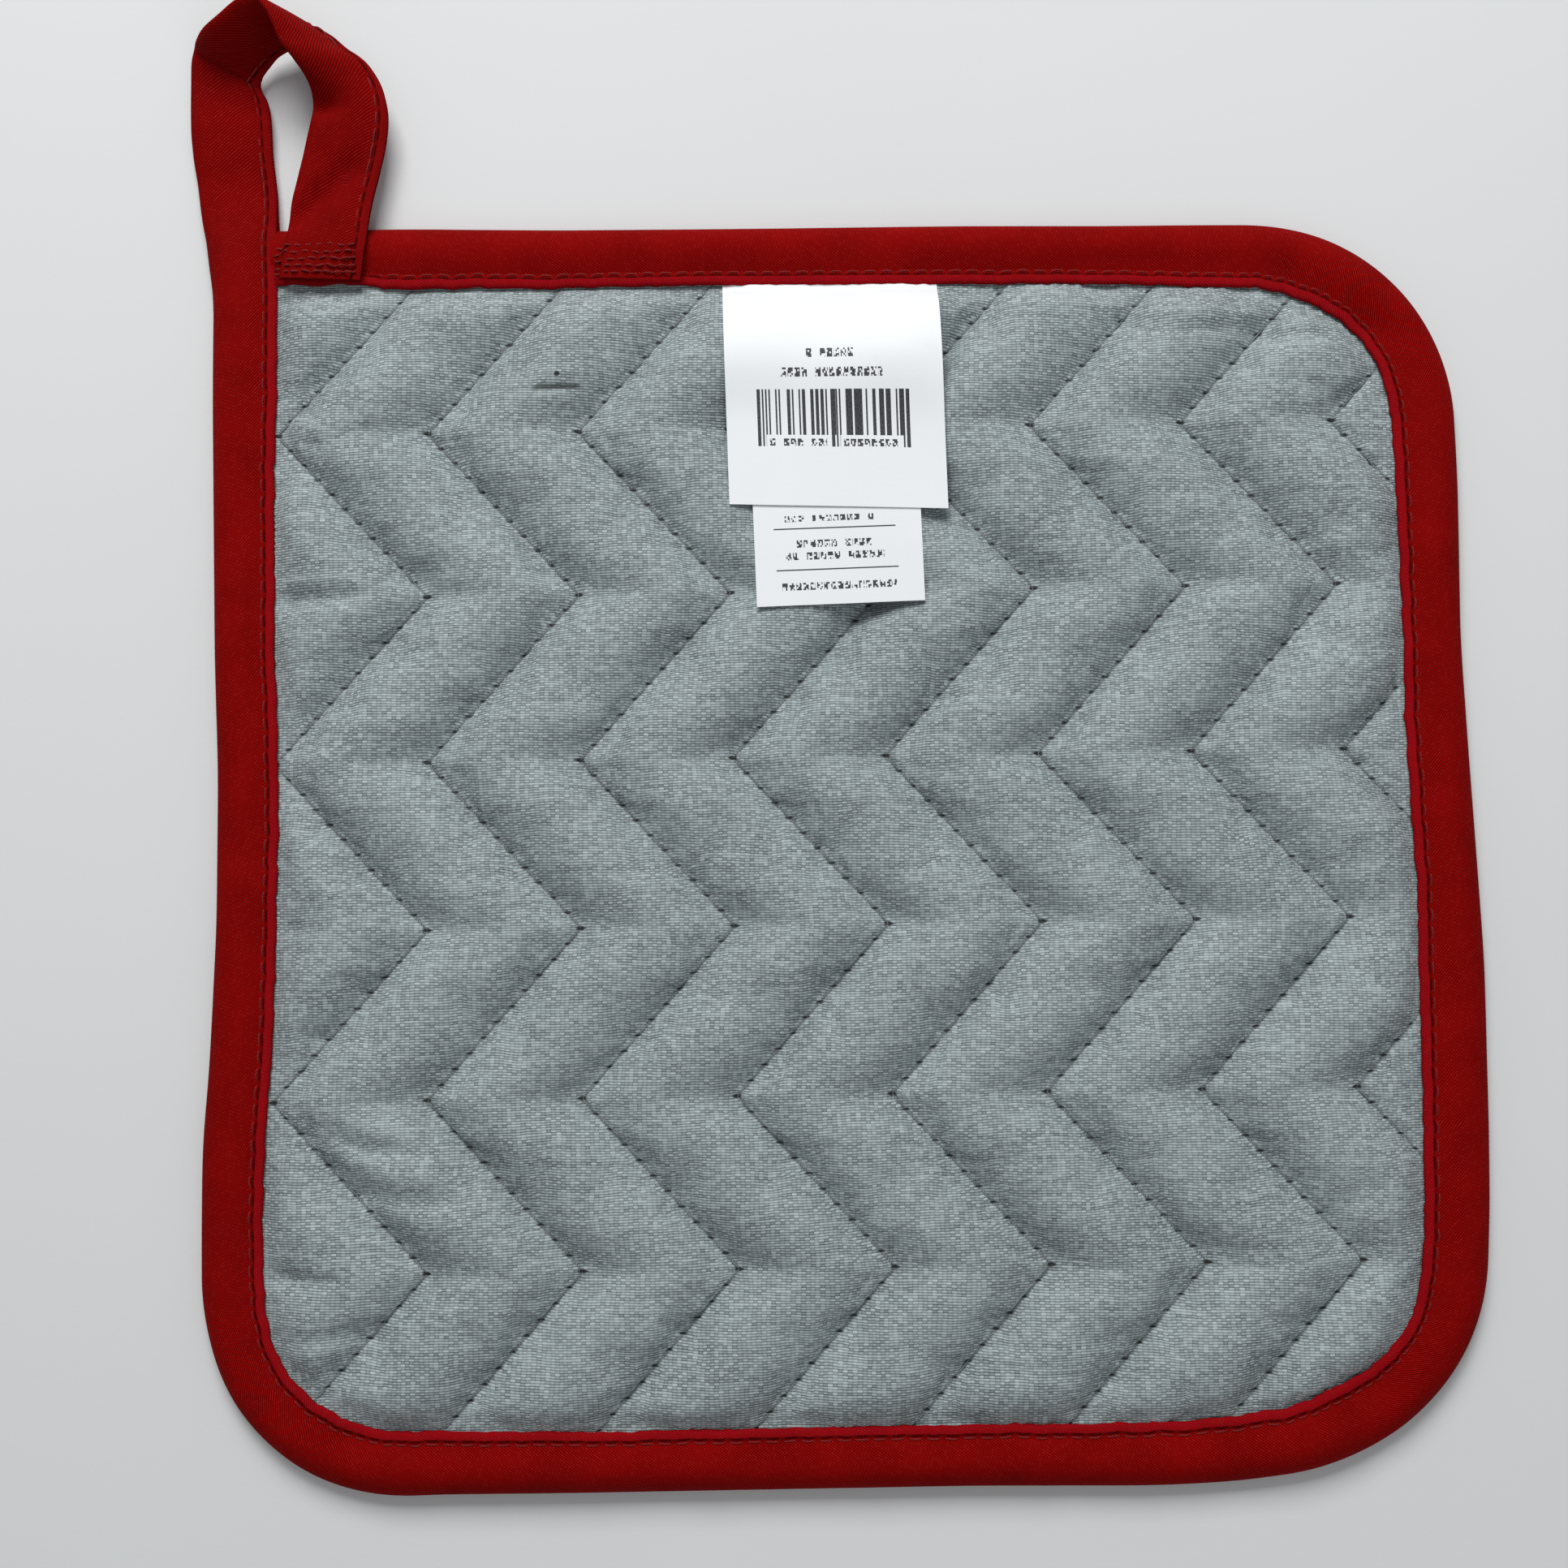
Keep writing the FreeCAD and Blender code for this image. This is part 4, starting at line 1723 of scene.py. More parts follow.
@dataclass(frozen=True)
class TapeSection:
    """Cross-section of the folded tape, as a closed line of (share of width, height) points.

    Args:
        bound: True where it wraps the pad's edge, False where it lies folded flat.
    """

    bound: bool

    def line(self) -> Array:
        """Points round the section: top from sewn edge to fold, under side back, then the inside.

        Returns:
            Rows of share across from the sewn edge, height above the middle, and the map's distance across.
        """
        if self.bound:
            top = [(0.0, 1.85), (0.02, 2.22), (0.06, 2.38), (0.12, 2.42), (0.17, 2.36),
                   (0.205, 2.12), (0.24, 2.30), (0.31, 2.58), (0.42, 2.98), (0.54, 3.26),
                   (0.66, 3.24), (0.77, 2.86), (0.87, 2.18), (0.95, 1.28), (0.99, 0.45)]
            low = [(1.0, -0.25), (0.985, -0.85), (0.94, -1.45), (0.86, -1.85), (0.74, -2.02),
                   (0.58, -2.06), (0.42, -2.06), (0.28, -2.04), (0.205, -1.80), (0.15, -2.03),
                   (0.06, -2.0), (0.0, -1.75)]
            inner = [(0.01, -1.25), (0.3, -1.25), (0.7, -1.2), (0.88, -0.7), (0.92, 0.2),
                     (0.86, 1.2), (0.7, 1.7), (0.4, 1.82), (0.2, 1.72), (0.01, 1.70)]
        else:
            top = [(0.0, 0.45), (0.015, 0.72), (0.05, 0.84), (0.09, 0.86), (0.12, 0.80),
                   (0.15, 0.58), (0.18, 0.80), (0.26, 0.92), (0.40, 0.98), (0.54, 1.0),
                   (0.68, 0.98), (0.80, 0.93), (0.90, 0.82), (0.965, 0.55), (0.995, 0.18)]
            low = [(1.0, -0.12), (0.985, -0.42), (0.95, -0.72), (0.87, -0.86), (0.74, -0.92),
                   (0.58, -0.96), (0.42, -0.94), (0.26, -0.86), (0.15, -0.56), (0.10, -0.80),
                   (0.04, -0.76), (0.0, -0.42)]
            inner = [(0.01, -0.10), (0.3, -0.05), (0.6, -0.04), (0.84, -0.04), (0.90, 0.0),
                     (0.84, 0.04), (0.6, 0.05), (0.4, 0.05), (0.2, 0.07), (0.01, 0.12)]
        width = TAPE.width
        outside = [q * width for q, _ in top] + [2 * width - q * width for q, _ in low]
        across = outside + [2.0 * width] * 5 + [0.0] * 5
        return np.column_stack((np.array(top + low + inner), across))


@dataclass(frozen=True)
class TapeStation:
    """One ruling across the loop's tape, in millimetres from the square's top left corner.

    Args:
        fold: the folded edge.
        sewn: the sewn edge.
        flat: 0 where the tape wraps the pad's edge, 1 where it is folded flat.
    """

    fold: tuple[float, float, float]
    sewn: tuple[float, float, float]
    flat: float = 1.0


@dataclass(frozen=True)
class Pucker:
    """A place where the tape sinks beside its stitches, in millimetres.

    Args:
        along: distance along the outer edge.
        depth: how far it sinks.
        width: half its length along the tape.
    """

    along: float
    depth: float
    width: float


@dataclass
class EdgeBinding:
    """Red tape folded round the edge of the square, from beside the loop round to the loop's left leg.

    Args:
        outline: the square.
        edge: how its edges stray.
        tape: the tape's own sizes.
        middle_z: height of the section's middle, in millimetres.
        cell: length of one cell along the tape.
        begin: distance along the edge where the binding begins, under the loop.
        meets_loop: how far below the top edge the loop's own piece takes over.
        needle_z: height of the upper stitches over the section's middle.
        bobbin_z: depth of the lower stitches under it.
        puckers: places where the tape sinks.
    """

    outline: Outline = OUTLINE
    edge: EdgeShape = EDGE
    tape: TapeSize = TAPE
    middle_z: float = 2.1
    cell: float = 1.15
    begin: float = 9.4
    meets_loop: float = 13.0
    needle_z: float = 2.12
    bobbin_z: float = 1.86
    puckers: tuple[Pucker, ...] = tuple(Pucker(*row) for row in (
        (150.0, 0.45, 14.0), (176.0, 0.40, 7.0), (203.0, 0.85, 6.0), (214.0, 0.45, 4.0),
        (368.0, 0.45, 5.0), (391.0, 0.80, 6.0), (561.0, 0.40, 7.0), (588.0, 0.40, 7.0),
    ))

    def stray(self, along: Array) -> tuple[Array, Array]:
        """How far the outer and inner edges stray, with a small scallop between stitches.

        Args:
            along: distances along the outer edge.

        Returns:
            The outer edge's and the inner edge's.
        """
        outer, inner = self.edge.stray(along)
        ends = np.clip(along / 6, 0, 1) * np.clip((self.end() - along) / 12, 0, 1)
        scallop = 0.07 * np.cos(2 * math.pi * along / self.tape.stitch) * ends
        by_labels = np.clip((np.abs(along - self.outline.half) - 20.0) / 6.0, 0, 1)
        ragged = 0.16 * smooth_noise(along, np.zeros_like(along), 4.5, 31) * ends * by_labels
        under_loop = 0.9 * np.clip((27.5 - along) / 2.5, 0, 1)
        return outer, inner + scallop + ragged - under_loop

    def end(self) -> float:
        """Distance along the edge where the binding hands over to the loop."""
        return self.outline.length() - self.meets_loop

    def point(self, along: Array, share: Array, height: Array) -> Array:
        """A point of the binding's section at a place along the edge.

        Args:
            along: distances along the outer edge.
            share: shares of the way from sewn edge to fold.
            height: heights above the section's middle.

        Returns:
            Rows of x, y, z.
        """
        outer, inner = self.stray(along)
        inset = self.outline.show + inner - (self.outline.show + inner + outer) * share
        quiet = np.clip((self.end() - along) / 12, 0, 1)
        slow = 0.07 * smooth_noise(along, 9 * share, 24, 13)
        quick = 0.03 * smooth_noise(along, 6 * share, 7, 4)
        plump = 1 + (slow + quick) * quiet
        plump = plump - 0.09 * np.clip((30.0 - along) / 4.0, 0, 1)
        plan = self.outline.place(along, inset)
        sunk = sum(p.depth * np.exp(-((along - p.along) / p.width) ** 2) for p in self.puckers)
        raised = self.middle_z + (height - sunk * np.exp(-((share - 0.36) / 0.22) ** 2)) * plump
        z = np.where(height > 0, raised, self.middle_z + height)
        return np.column_stack((plan, np.maximum(z, 0.03)))

    def build_tape(self) -> Piece:
        """The swept channel of tape.

        Returns:
            The tape.
        """
        section = TapeSection(True).line()
        last = len(section)
        ring = np.vstack((section, section[:1]))
        ring[-1, 2] = 2.0 * self.tape.width
        length = self.end() - self.begin

        def place(u: Array, v: Array) -> Array:
            """Section by section along the edge."""
            i = whole(u, last)
            return self.point(self.begin + length * v, ring[i, 0], ring[i, 1])

        def layout(u: Array, v: Array) -> Array:
            """Along and across the tape."""
            return np.column_stack((self.begin + length * v, ring[whole(u, last), 2]))

        cells = int(length / self.cell)
        tape = laid_grid("edge_binding_tape", last, cells, place, {Map.TAPE: layout}, weld=True, cap=True)
        tape.data.set_sharp_from_angle(angle=math.radians(75))
        return tape

    def build_stitches(self, side: Side) -> Piece:
        """The row of stitches near the binding's inner edge, on one side.

        Args:
            side: upper side or under side.

        Returns:
            The thread.
        """
        out_of_loop, loose_end = 27.0, 11.0
        start = out_of_loop if side is Side.UPPER else loose_end
        along = np.arange(start, self.end(), self.tape.stitch_step)
        share = np.full_like(along, self.tape.bound_share)
        dive = at_needle(along, self.tape.stitch) ** 3
        sign = side.value
        level = self.needle_z if side is Side.UPPER else self.bobbin_z
        height = sign * level + sign * (0.10 - 0.42 * dive)
        path = self.point(along, share, height)
        kind = "needle" if side is Side.UPPER else "bobbin"
        return thread_tube(f"binding_{kind}_stitches", path, self.tape.stitch_radius)


@dataclass
class HangingLoop:
    """The binding's tape, running on past the corner, half twisted and sewn back onto the top edge.

    Args:
        outline: the square.
        tape: the tape's own sizes.
        samples: rings along the loop.
        tack_x: where the bar tack begins and ends, in millimetres right of the top left corner.
        tack_rows: height of each of its rows over the top edge.
        tack_radius: half the thickness of its thread.
        stations: rulings from the corner round to the sewn end.
    """

    outline: Outline = OUTLINE
    tape: TapeSize = TAPE
    samples: int = 230
    tack_x: tuple[float, float] = (10.0, 24.0)
    tack_rows: tuple[float, ...] = (-3.2, -4.3, -5.5, -6.6, -7.6)
    tack_radius: float = 0.19
    stations: tuple[TapeStation, ...] = tuple(TapeStation(*row) for row in (
        ((-0.6, -13.0, 2.1), (10.4, -13.0, 2.1), 0.0), ((-0.8, -9.5, 2.1), (10.4, -9.5, 2.1), 0.0),
        ((-1.4, -5.0, 2.1), (10.3, -5.0, 2.1), 0.0), ((-1.9, -1.0, 2.1), (10.1, -1.0, 2.1), 0.25),
        ((-2.5, 3.0, 2.0), (9.8, 3.0, 2.1), 0.85), ((-3.4, 8.5, 1.9), (9.6, 8.0, 1.9)),
        ((-4.4, 14.5, 1.7), (9.0, 14.0, 1.8)), ((-4.9, 20.5, 1.7), (8.8, 19.5, 1.8)),
        ((-4.9, 26.6, 1.9), (8.1, 23.0, 1.9)), ((-4.5, 30.0, 2.3), (7.0, 24.8, 2.0)),
        ((-3.6, 31.8, 3.2), (6.3, 25.8, 2.2)), ((-2.6, 32.0, 5.6), (6.3, 26.3, 2.3)),
        ((-0.4, 32.4, 9.2), (6.9, 27.4, 2.4)), ((2.6, 33.4, 12.0), (8.0, 29.0, 2.4)),
        ((5.8, 35.2, 13.8), (9.8, 31.0, 2.6)), ((8.4, 35.6, 14.6), (12.2, 32.6, 2.9)),
        ((10.4, 34.0, 14.8), (15.6, 34.6, 3.6)), ((11.9, 31.0, 14.4), (18.9, 33.0, 4.2)),
        ((13.3, 28.2, 13.4), (21.8, 30.0, 4.6)), ((14.9, 26.1, 11.6), (24.4, 27.8, 5.0)),
        ((16.3, 24.4, 9.4), (26.6, 25.0, 5.4)), ((17.0, 22.6, 7.4), (27.9, 21.8, 5.8)),
        ((16.6, 19.5, 6.0), (28.6, 17.8, 5.8)), ((15.3, 14.7, 5.4), (28.1, 12.8, 5.5)),
        ((14.1, 9.5, 5.2), (27.1, 8.0, 5.3)), ((13.2, 5.0, 5.2), (26.1, 3.8, 5.4)),
        ((12.8, 1.0, 5.7), (25.5, 0.4, 5.7)), ((12.2, -2.8, 6.05), (25.2, -3.0, 6.05)),
        ((11.0, -8.4, 5.75), (24.3, -8.9, 5.75)),
    ))

    def rulings(self) -> tuple[Array, Array, Array, Array]:
        """Sewn edge, across vector, normal and flatness at each ring.

        Returns:
            Rows of the four, ring by ring, in millimetres.
        """
        rows = np.array([[*s.sewn, *s.fold, s.flat] for s in self.stations])
        line = smooth_path(rows, self.samples)
        corner = np.array([-self.outline.half, self.outline.half, 0.0])
        sewn, fold, flat = line[:, :3] + corner, line[:, 3:6] + corner, np.clip(line[:, 6], 0, 1)
        across = fold - sewn
        size = np.linalg.norm(across, axis=1)
        wanted = size + 0.45 * (self.tape.width - size) * np.clip(flat * 1.3 - 0.3, 0, 1)
        across = across / size[:, None] * wanted[:, None]
        run = np.gradient((sewn + fold) / 2, axis=0)
        normal = np.cross(run, across)
        normal /= np.linalg.norm(normal, axis=1)[:, None]
        if normal[0, 2] < 0:
            normal = -normal
        return (sewn + fold) / 2 - across / 2, across, normal, flat

    def dents(self, points: Array) -> Array:
        """How deep the soft tape is dented at each point, in millimetres.

        Args:
            points: rows of x, y, z.

        Returns:
            The depths.
        """
        x, y = points[:, 0] + self.outline.half, points[:, 1] - self.outline.half
        trough = np.exp(-((y - 6.3 - 0.95 * (x - 19.0)) / 2.4) ** 2 - ((x - 19.0) / 5.5) ** 4)
        pinch = np.exp(-((x - 18.4) / 2.0) ** 2 - ((y - 20.4) / 1.8) ** 2)
        return (2.5 * trough + 2.1 * pinch) * (x > 12.0)

    def build_tape(self) -> Piece:
        """The loop's tape, closed at its sewn end.

        Returns:
            The tape.
        """
        sewn, across, normal, flat = self.rulings()
        bound, folded = TapeSection(True).line(), TapeSection(False).line()
        last = len(bound)
        reach = run_length(sewn + across / 2)

        def ring(u: Array) -> Array:
            """Which point of the section a corner is."""
            return whole(u, last) % last

        def place(u: Array, v: Array) -> Array:
            """Ring by ring along the rulings.

            Args:
                u: share of the way round the section.
                v: share of the way along the loop.

            Returns:
                Rows of x, y, z.
            """
            i, k = ring(u), whole(v, self.samples - 1)
            f = flat[k]
            share = bound[i, 0] * (1 - f) + folded[i, 0] * f
            height = bound[i, 1] * (1 - f) + folded[i, 1] * f
            slow = 0.32 * smooth_noise(reach[k], 11 * share, 15, 31)
            quick = 0.12 * smooth_noise(reach[k], 8 * share, 6, 32)
            height = height + (slow + quick) * np.clip(f * 2 - 1, 0, 1)
            points = sewn[k] + across[k] * share[:, None] + normal[k] * height[:, None]
            points[:, 2] -= self.dents(points)
            points[:, 2] = np.maximum(points[:, 2], 0.05)
            return points

        def layout(u: Array, v: Array) -> Array:
            """Along and across the tape."""
            across_mm = np.where(u > 0.999, 2 * self.tape.width, bound[ring(u), 2])
            return np.column_stack((EdgeBinding().end() + reach[whole(v, self.samples - 1)], across_mm))

        tape = laid_grid("hanging_loop_tape", last, self.samples - 1, place, {Map.TAPE: layout},
                         weld=True, cap=True)
        tape.data.set_sharp_from_angle(angle=math.radians(75))
        return tape

    def build_stitches(self) -> Piece:
        """The tape's own row of stitches, seen on both of its sides.

        Returns:
            The thread on both sides.
        """
        sewn, across, normal, flat = self.rulings()
        reach = run_length(sewn + across / 2)
        s = np.arange(0.5, reach[-1] - 8.5, self.tape.stitch_step)
        share = self.tape.bound_share * (1 - flat) + self.tape.flat_share * flat
        base = sewn + across * share[:, None]
        parts = []
        for sign, deep in ((1.0, 2.12), (-1.0, 1.80)):
            height = sign * (0.58 * flat + deep * (1 - flat))
            line = base + normal * height[:, None]
            path = np.column_stack([np.interp(s, reach, line[:, k]) for k in range(3)])
            up = np.column_stack([np.interp(s, reach, normal[:, k]) for k in range(3)]) * sign
            dive = at_needle(s, self.tape.stitch) ** 3
            path = path + up * (0.14 - 0.40 * dive)[:, None]
            path[:, 2] = np.maximum(path[:, 2], 0.2)
            parts.append(thread_tube("loop_thread_part", path, self.tape.stitch_radius))
        return join_pieces(parts, "hanging_loop_stitches")

    def build_bar_tack(self) -> Piece:
        """Rows of stitches laid back and forth through the loop's end.

        Returns:
            The thread.
        """
        left, right = -self.outline.half + self.tack_x[0], -self.outline.half + self.tack_x[1]
        parts = []
        rng = np.random.default_rng(17)
        for row, y in enumerate(self.tack_rows):
            x = np.arange(left, right, 0.22)
            wave = 0.5 + 0.5 * np.cos(2 * math.pi * (x - left) / 1.75 + row * 2.1)
            wobble = 0.28 * np.interp(x, np.linspace(left, right, 12), rng.uniform(-1, 1, 12))
            top = 6.95 + 0.05 * (y + 2.8)
            z = np.interp(x, (left, left + 1.4, left + 2.4, right), (4.8, 5.1, top, top))
            path = np.column_stack((x, self.outline.half + y + wobble, z + 0.18 - 0.5 * wave ** 2))
            parts.append(thread_tube("tack_part", path, self.tack_radius))
        return join_pieces(parts, "loop_bar_tack_stitches")


# ---------------------------------------------------------------- labels


@dataclass
class SewnLabel:
    """A printed label sewn in under the top binding, lying over the puffs.

    Args:
        name: the piece's name.
        middle: its middle, across.
        width: its width.
        long: its length from the binding's inner edge.
        lift: height of its face over what it lies on.
        lean: how far its sides lean to the right going down, in degrees.
        turn: how far its lower edge rises to the right, in degrees.
        outline: the square.
        tucked: how much of it is under the binding.
        thickness: thickness of the sheet.
        cell: size of one cell of its mesh.
        bare_z: height where nothing is beneath it.
        free_from: length at its root that stays flat.
        free_over: length over which it then comes up to the puffs.
    """

    name: str
    middle: float
    width: float
    long: float
    lift: float
    lean: float
    turn: float
    outline: Outline = OUTLINE
    tucked: float = 1.2
    thickness: float = 0.16
    cell: float = 1.1
    bare_z: float = 3.4
    free_from: float = 0.8
    free_over: float = 21.0

    def build(self, beneath: BVHTree) -> Piece:
        """Lay the label over what is beneath it.

        Args:
            beneath: the surface under it, in metres.

        Returns:
            The label's sheet.
        """
        wide, tall = int(self.width / self.cell), int((self.long + self.tucked) / self.cell)
        top = self.outline.half - self.outline.show + self.tucked
        lean, turn = math.radians(self.lean), math.radians(self.turn)

        def plan(u: Array, v: Array) -> tuple[Array, Array]:
            """Where the label's corners lie in plan."""
            across, down = (u - 0.5) * self.width, (1 - v) * (self.long + self.tucked)
            return (self.middle + across + down * math.sin(lean),
                    top - down * math.cos(lean) + across * math.sin(turn) * (1 - v))

        rows, columns = np.meshgrid(np.linspace(0, 1, tall + 1), np.linspace(0, 1, wide + 1), indexing="ij")
        x, y = plan(columns.ravel(), rows.ravel())
        under = np.array([self.height_of(beneath, a, b) for a, b in zip(x, y)]).reshape(rows.shape)
        level = self.drape(under)

        def place(u: Array, v: Array) -> Array:
            """The draped sheet."""
            return np.column_stack((*plan(u, v), level[whole(v, tall), whole(u, wide)]))

        def layout(u: Array, v: Array) -> Array:
            """Millimetres from the visible top left corner."""
            return np.column_stack((u * self.width, (1 - v) * (self.long + self.tucked) - self.tucked))

        label = laid_grid(self.name, wide, tall, place, {Map.LABEL: layout})
        face_up(label, up=True)
        give_thickness(label, self.thickness, -1)
        settle_shape(label, 50)
        return label

    def height_of(self, beneath: BVHTree, x: float, y: float) -> float:
        """Height of the surface under one point, in millimetres."""
        hit = beneath.ray_cast(Vector((x * MM, y * MM, 0.03)), Vector((0, 0, -1)))[0]
        return hit.z / MM if hit is not None else self.bare_z

    def drape(self, under: Array) -> Array:
        """A stiff sheet's heights over an uneven surface.

        Args:
            under: heights of the surface, row by row from the label's free end.

        Returns:
            Heights of the sheet's upper face.
        """
        sheet = self.spread(under, 5, 0)
        for _ in range(60):
            sheet = np.maximum(self.spread(sheet, 0, 1), under)
        from_root = np.arange(under.shape[0] - 1, -1, -1)[:, None] * self.cell
        free = np.clip((from_root - self.tucked - self.free_from) / self.free_over, 0, 1)
        ramp = self.bare_z + (sheet - self.bare_z) * np.sin(free * math.pi / 2)
        emerged = np.clip((from_root - self.tucked - 1.0) / 4.0, 0, 1)
        ramp = ramp + self.spread(np.maximum(under - ramp, 0), 4, 10) * emerged
        return np.maximum(ramp, under) + self.lift

    @staticmethod
    def spread(sheet: Array, grow: int, blur: int) -> Array:
        """Widen the high places of a sheet, then round them off.

        Args:
            sheet: heights.
            grow: how many cells the high places grow by.
            blur: how often neighbours are averaged.

        Returns:
            The new heights.
        """
        for _ in range(grow):
            wide = np.pad(sheet, 1, mode="edge")
            rows, columns = sheet.shape
            sheet = np.max([wide[i:rows + i, j:columns + j] for i in range(3) for j in range(3)], axis=0)
        for _ in range(blur):
            wide = np.pad(sheet, 1, mode="edge")
            sheet = (wide[:-2, 1:-1] + wide[2:, 1:-1] + wide[1:-1, :-2] + wide[1:-1, 2:]) / 4
        return sheet


# ---------------------------------------------------------------- the stage


@dataclass(frozen=True)
class SoftLight:
    """A square soft light that faces the middle of the table.

    Args:
        name: its name.
        at: its place, in metres.
        size: length of its sides.
        power: its power, in watts.
    """

    name: str
    at: tuple[float, float, float]
    size: float
    power: float

    def build(self) -> None:
        """Put it in the scene."""
        data = bpy.data.lights.new(self.name, "AREA")
        data.size = self.size
        data.energy = self.power
        light = bpy.data.objects.new(self.name, data)
        light.location = self.at
        light.rotation_euler = (-Vector(self.at)).to_track_quat("-Z", "Y").to_euler()
        bpy.context.scene.collection.objects.link(light)


@dataclass
class Studio:
    """Camera, light and floor.

    Args:
        camera_at: camera place, in millimetres.
        tilt: how far the view leans from straight down, in degrees.
        roll: turn about the view's own line, in degrees.
        focal: focal length for a 36 mm wide picture.
        lights: the lights.
        sky: colour of the even surround.
        sky_power: its strength.
    """

    camera_at: tuple[float, float, float] = (-9.2, -22.3, 341.7)
    tilt: float = 5.30
    roll: float = -0.87
    focal: float = 48.45
    lights: tuple[SoftLight, ...] = (
        SoftLight("key_light", (-0.12, 0.73, 0.73), 0.50, 9.2),
        SoftLight("fill_light", (0.35, -0.5, 0.9), 1.0, 1.5),
    )
    sky: tuple[float, float, float, float] = (0.92, 0.96, 1.0, 1.0)
    sky_power: float = 0.25

    def build_camera(self) -> None:
        """Look down on the holder from just below its middle."""
        data = bpy.data.cameras.new("view_camera")
        data.lens = self.focal
        data.sensor_width = 36.0
        data.clip_start = 0.01
        camera = bpy.data.objects.new("view_camera", data)
        camera.location = Vector(self.camera_at) * MM
        tilt = Matrix.Rotation(math.radians(self.tilt), 4, "X")
        roll = Matrix.Rotation(math.radians(self.roll), 4, "Z")
        camera.rotation_euler = (tilt @ roll).to_euler()
        bpy.context.scene.collection.objects.link(camera)
        bpy.context.scene.camera = camera

    def build_light(self) -> None:
        """A large soft light from beyond the top edge, a weak fill and an even pale surround."""
        for light in self.lights:
            light.build()
        world = bpy.data.worlds.new("surround")
        world.use_nodes = True
        back = world.node_tree.nodes["Background"]
        back.inputs[0].default_value = self.sky
        back.inputs[1].default_value = self.sky_power
        bpy.context.scene.world = world
        bpy.context.scene.view_settings.view_transform = "Standard"

    def build_floor(self) -> None:
        """A plain pale table top."""
        bm = bmesh.new()
        bmesh.ops.create_grid(bm, x_segments=1, y_segments=1, size=3.0)
        mesh = bpy.data.meshes.new("table_top")
        bm.to_mesh(mesh)
        bm.free()
        floor = bpy.data.objects.new("table_top", mesh)
        floor.data.materials.append(TableTop().material())
        bpy.context.scene.collection.objects.link(floor)


# ---------------------------------------------------------------- putting it together


def dress(obj: Piece, material: bpy.types.Material) -> Piece:
    """Give a piece its one finish.

    Args:
        obj: the piece.
        material: its finish.

    Returns:
        The same piece.
    """
    obj.data.materials.clear()
    obj.data.materials.append(material)
    LOG.info("%s: %d vertices, finish %s", obj.name, len(obj.data.vertices), material.name)
    return obj


def build_pad(effects: SharedEffects) -> Piece:
    """Build the quilted square and its rows of stitches.

    Args:
        effects: the shared node groups.

    Returns:
        The face cloth, which the labels lie on.
    """
    pad = QuiltedPad()
    face = dress(pad.build_face(), SilverCloth().material(effects))
    wadding = dress(pad.build_wadding(), Wadding().material(effects))
    front = dress(pad.build_front(), PlainCotton().material(effects))
    for piece, node in ((face, "heat_face_cloth"), (wadding, "wadding"), (front, "front_cloth")):
        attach(piece, "pad")
        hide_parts(node)
    grey = SewingThread("grey_thread", (0.30, 0.33, 0.34), (0.06, 0.065, 0.065)).material(effects)
    for number in range(1, QUILT.lines + 1):
        for side, kind in ((Side.UPPER, "needle"), (Side.LOWER, "bobbin")):
            row = dress(pad.build_row(number, side), grey)
            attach(row, "pad")
            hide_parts(f"quilt_{kind}_thread_{number}")
    return face


def build_tape(effects: SharedEffects) -> None:
    """Build the binding, the hanging loop and their stitches.

    Args:
        effects: the shared node groups.
    """
    red = RedTape().material(effects)
    thread = SewingThread("red_thread", (0.30, 0.020, 0.020), (0.07, 0.002, 0.003)).material(effects)
    binding = EdgeBinding()
    tape = dress(binding.build_tape(), red)
    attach(tape, "pad")
    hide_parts("edge_binding")
    for side, node in ((Side.UPPER, "binding_needle_thread"), (Side.LOWER, "binding_bobbin_thread")):
        row = dress(binding.build_stitches(side), thread)
        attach(row, "pad")
        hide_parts(node)
    loop = HangingLoop()
    loop_tape = dress(loop.build_tape(), red)
    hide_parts("hanging_loop", "loop_sewn_end")
    stitches = dress(loop.build_stitches(), thread)
    for piece in (loop_tape, stitches):
        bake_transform(piece)
    tack = dress(loop.build_bar_tack(), thread)
    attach(tack, "pad")
    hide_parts("loop_bar_tack")


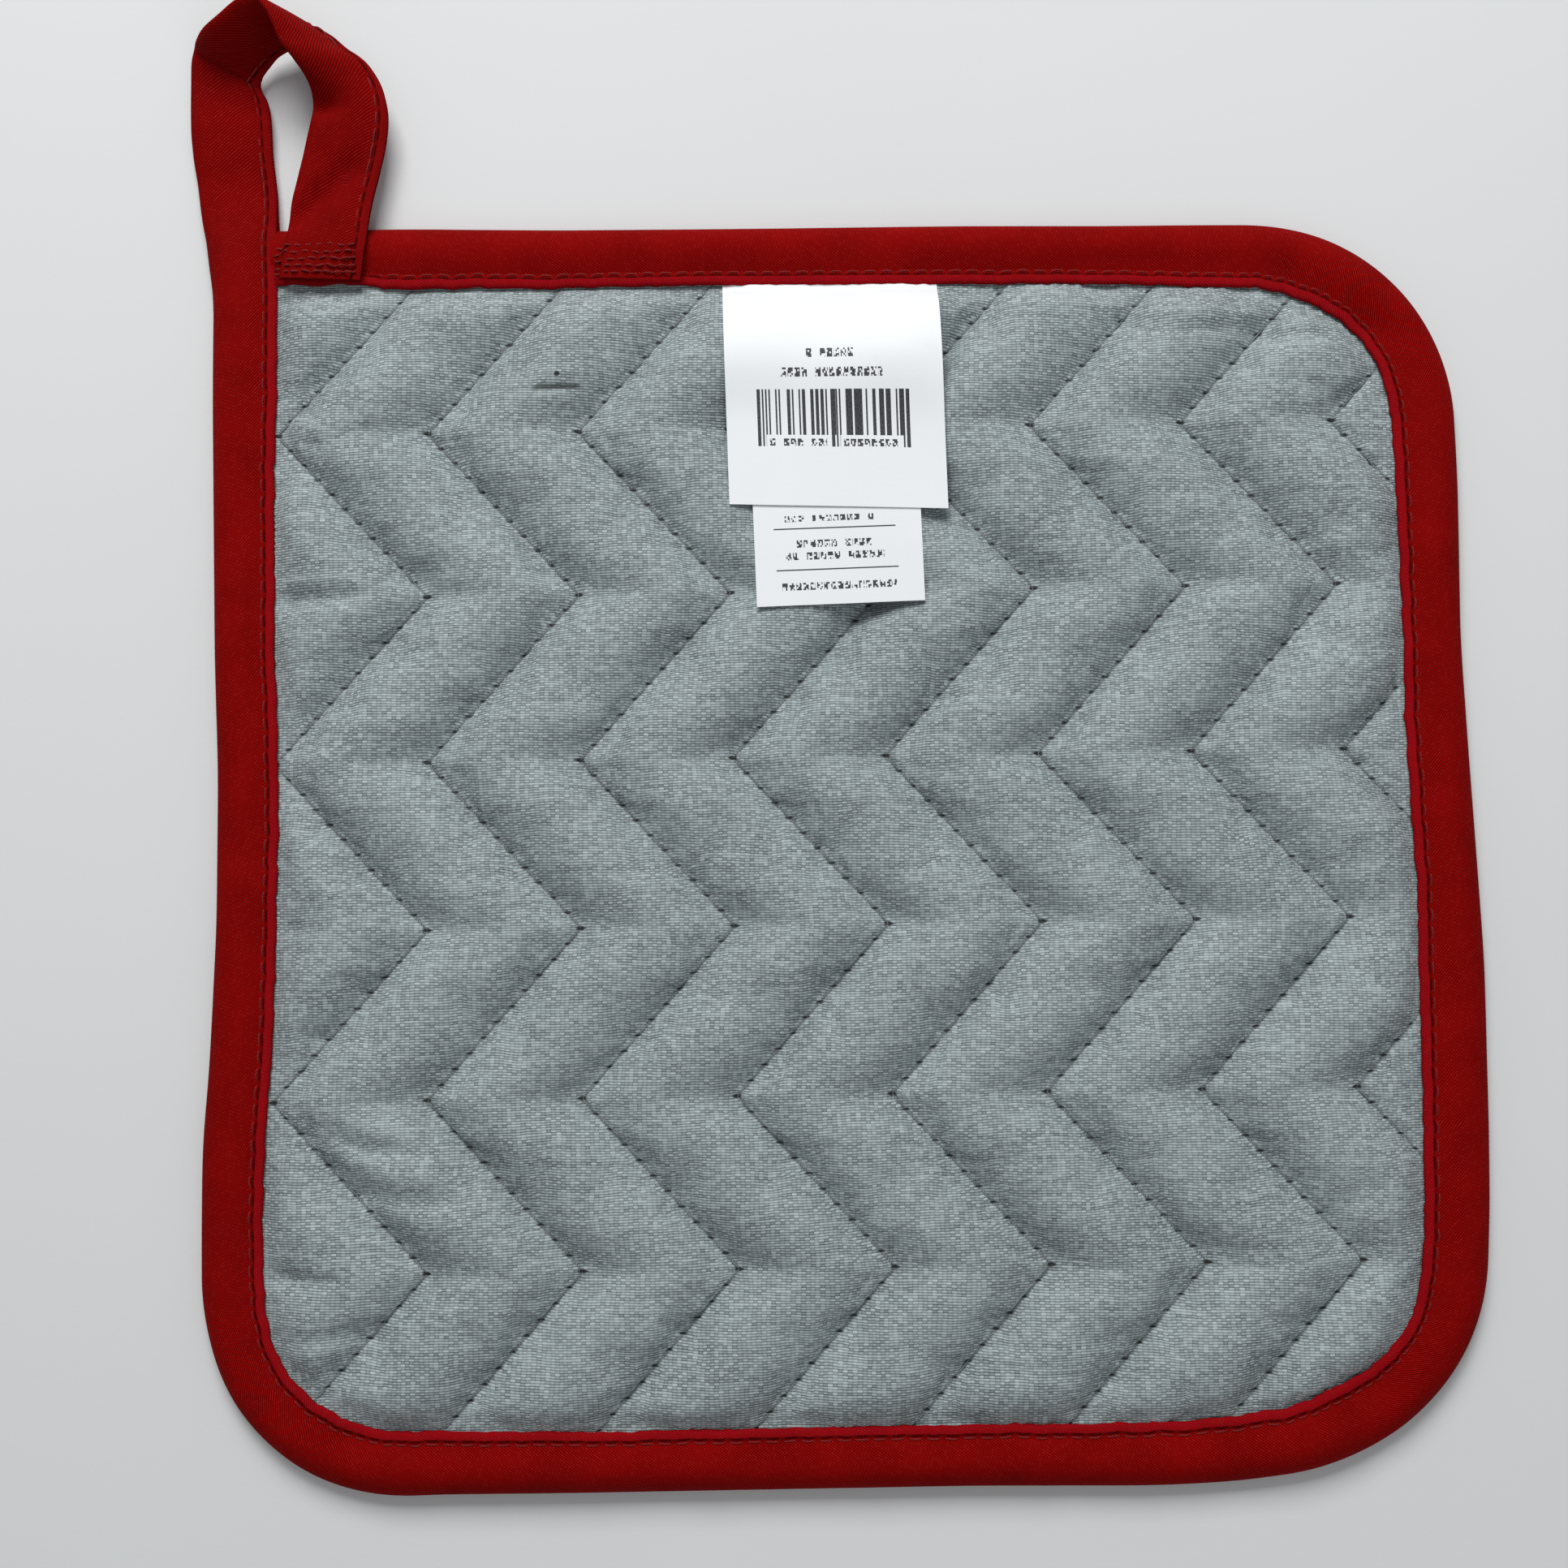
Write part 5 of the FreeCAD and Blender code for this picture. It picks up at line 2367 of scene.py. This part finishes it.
def build_labels(effects: SharedEffects, face: Piece) -> None:
    """Build the two labels, one on the other.

    Args:
        effects: the shared node groups.
        face: the cloth that they lie on.
    """
    def words(left: float, top: float, width: float, height: float) -> PrintBlock:
        """A row of unreadable marks in place of words."""
        return PrintBlock(Print.WORDS, left, top, width, height)

    def rule(left: float, top: float, width: float) -> PrintBlock:
        """A thin line right across."""
        return PrintBlock(Print.RULE, left, top, width, 0.22)

    def bar_block(left: float, width: float, height: float) -> PrintBlock:
        """Upright bars of uneven width."""
        return PrintBlock(Print.BARS, left, 19.6, width, height)

    bars = (bar_block(5.0, 24.6, 7.4), bar_block(5.0, 1.4, 9.3), bar_block(16.9, 1.4, 9.3),
            bar_block(28.2, 1.4, 9.3), words(6.9, 27.6, 9.2, 1.2), words(18.8, 27.6, 8.8, 1.2),
            words(13.2, 12.9, 7.8, 1.5), words(9.0, 16.1, 16.4, 1.5))
    care = (words(5.0, 39.9, 14.6, 1.0), rule(3.2, 41.9, 19.6), words(6.8, 43.9, 12.0, 1.2),
            words(5.0, 45.9, 15.8, 1.2), rule(3.4, 48.6, 19.6), words(4.2, 50.8, 18.4, 1.2))
    lower = SewnLabel("care_label_sheet", -1.15, 27.0, 54.4, 0.22, lean=1.6, turn=1.5)
    upper = SewnLabel("barcode_label_sheet", -0.5, 35.2, 38.6, 0.22, lean=1.2, turn=-2.0, tucked=0.0)
    graph = bpy.context.evaluated_depsgraph_get()
    care_sheet = lower.build(BVHTree.FromObject(face, graph))
    dress(care_sheet, LabelCloth("care_print", care).material(effects))
    graph = bpy.context.evaluated_depsgraph_get()
    both = bmesh.new()
    both.from_object(face, graph)
    both.from_object(care_sheet, graph)
    barcode_sheet = upper.build(BVHTree.FromBMesh(both))
    both.free()
    dress(barcode_sheet, LabelCloth("barcode_print", bars).material(effects))
    edge = (OUTLINE.half - OUTLINE.show) * MM
    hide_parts("care_label")
    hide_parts("barcode_label")
    start, end = (0, edge + 0.5 * MM, 0.0046), (0, edge - 2.5 * MM, 0.0046)
    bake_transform(care_sheet)
    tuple(start)
    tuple(end)
    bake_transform(barcode_sheet)
    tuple(start)
    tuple(end)


def main() -> None:
    """Build every sub-assembly in order, then the stage."""
    logging.basicConfig(level=logging.INFO, format="%(name)s: %(message)s")
    effects = SharedEffects(plain_weave_group(), twill_group(), mottle_group())
    face = build_pad(effects)
    build_tape(effects)
    build_labels(effects, face)
    studio = Studio()
    studio.build_camera()
    studio.build_light()
    studio.build_floor()


if __name__ == "__main__":
    main()
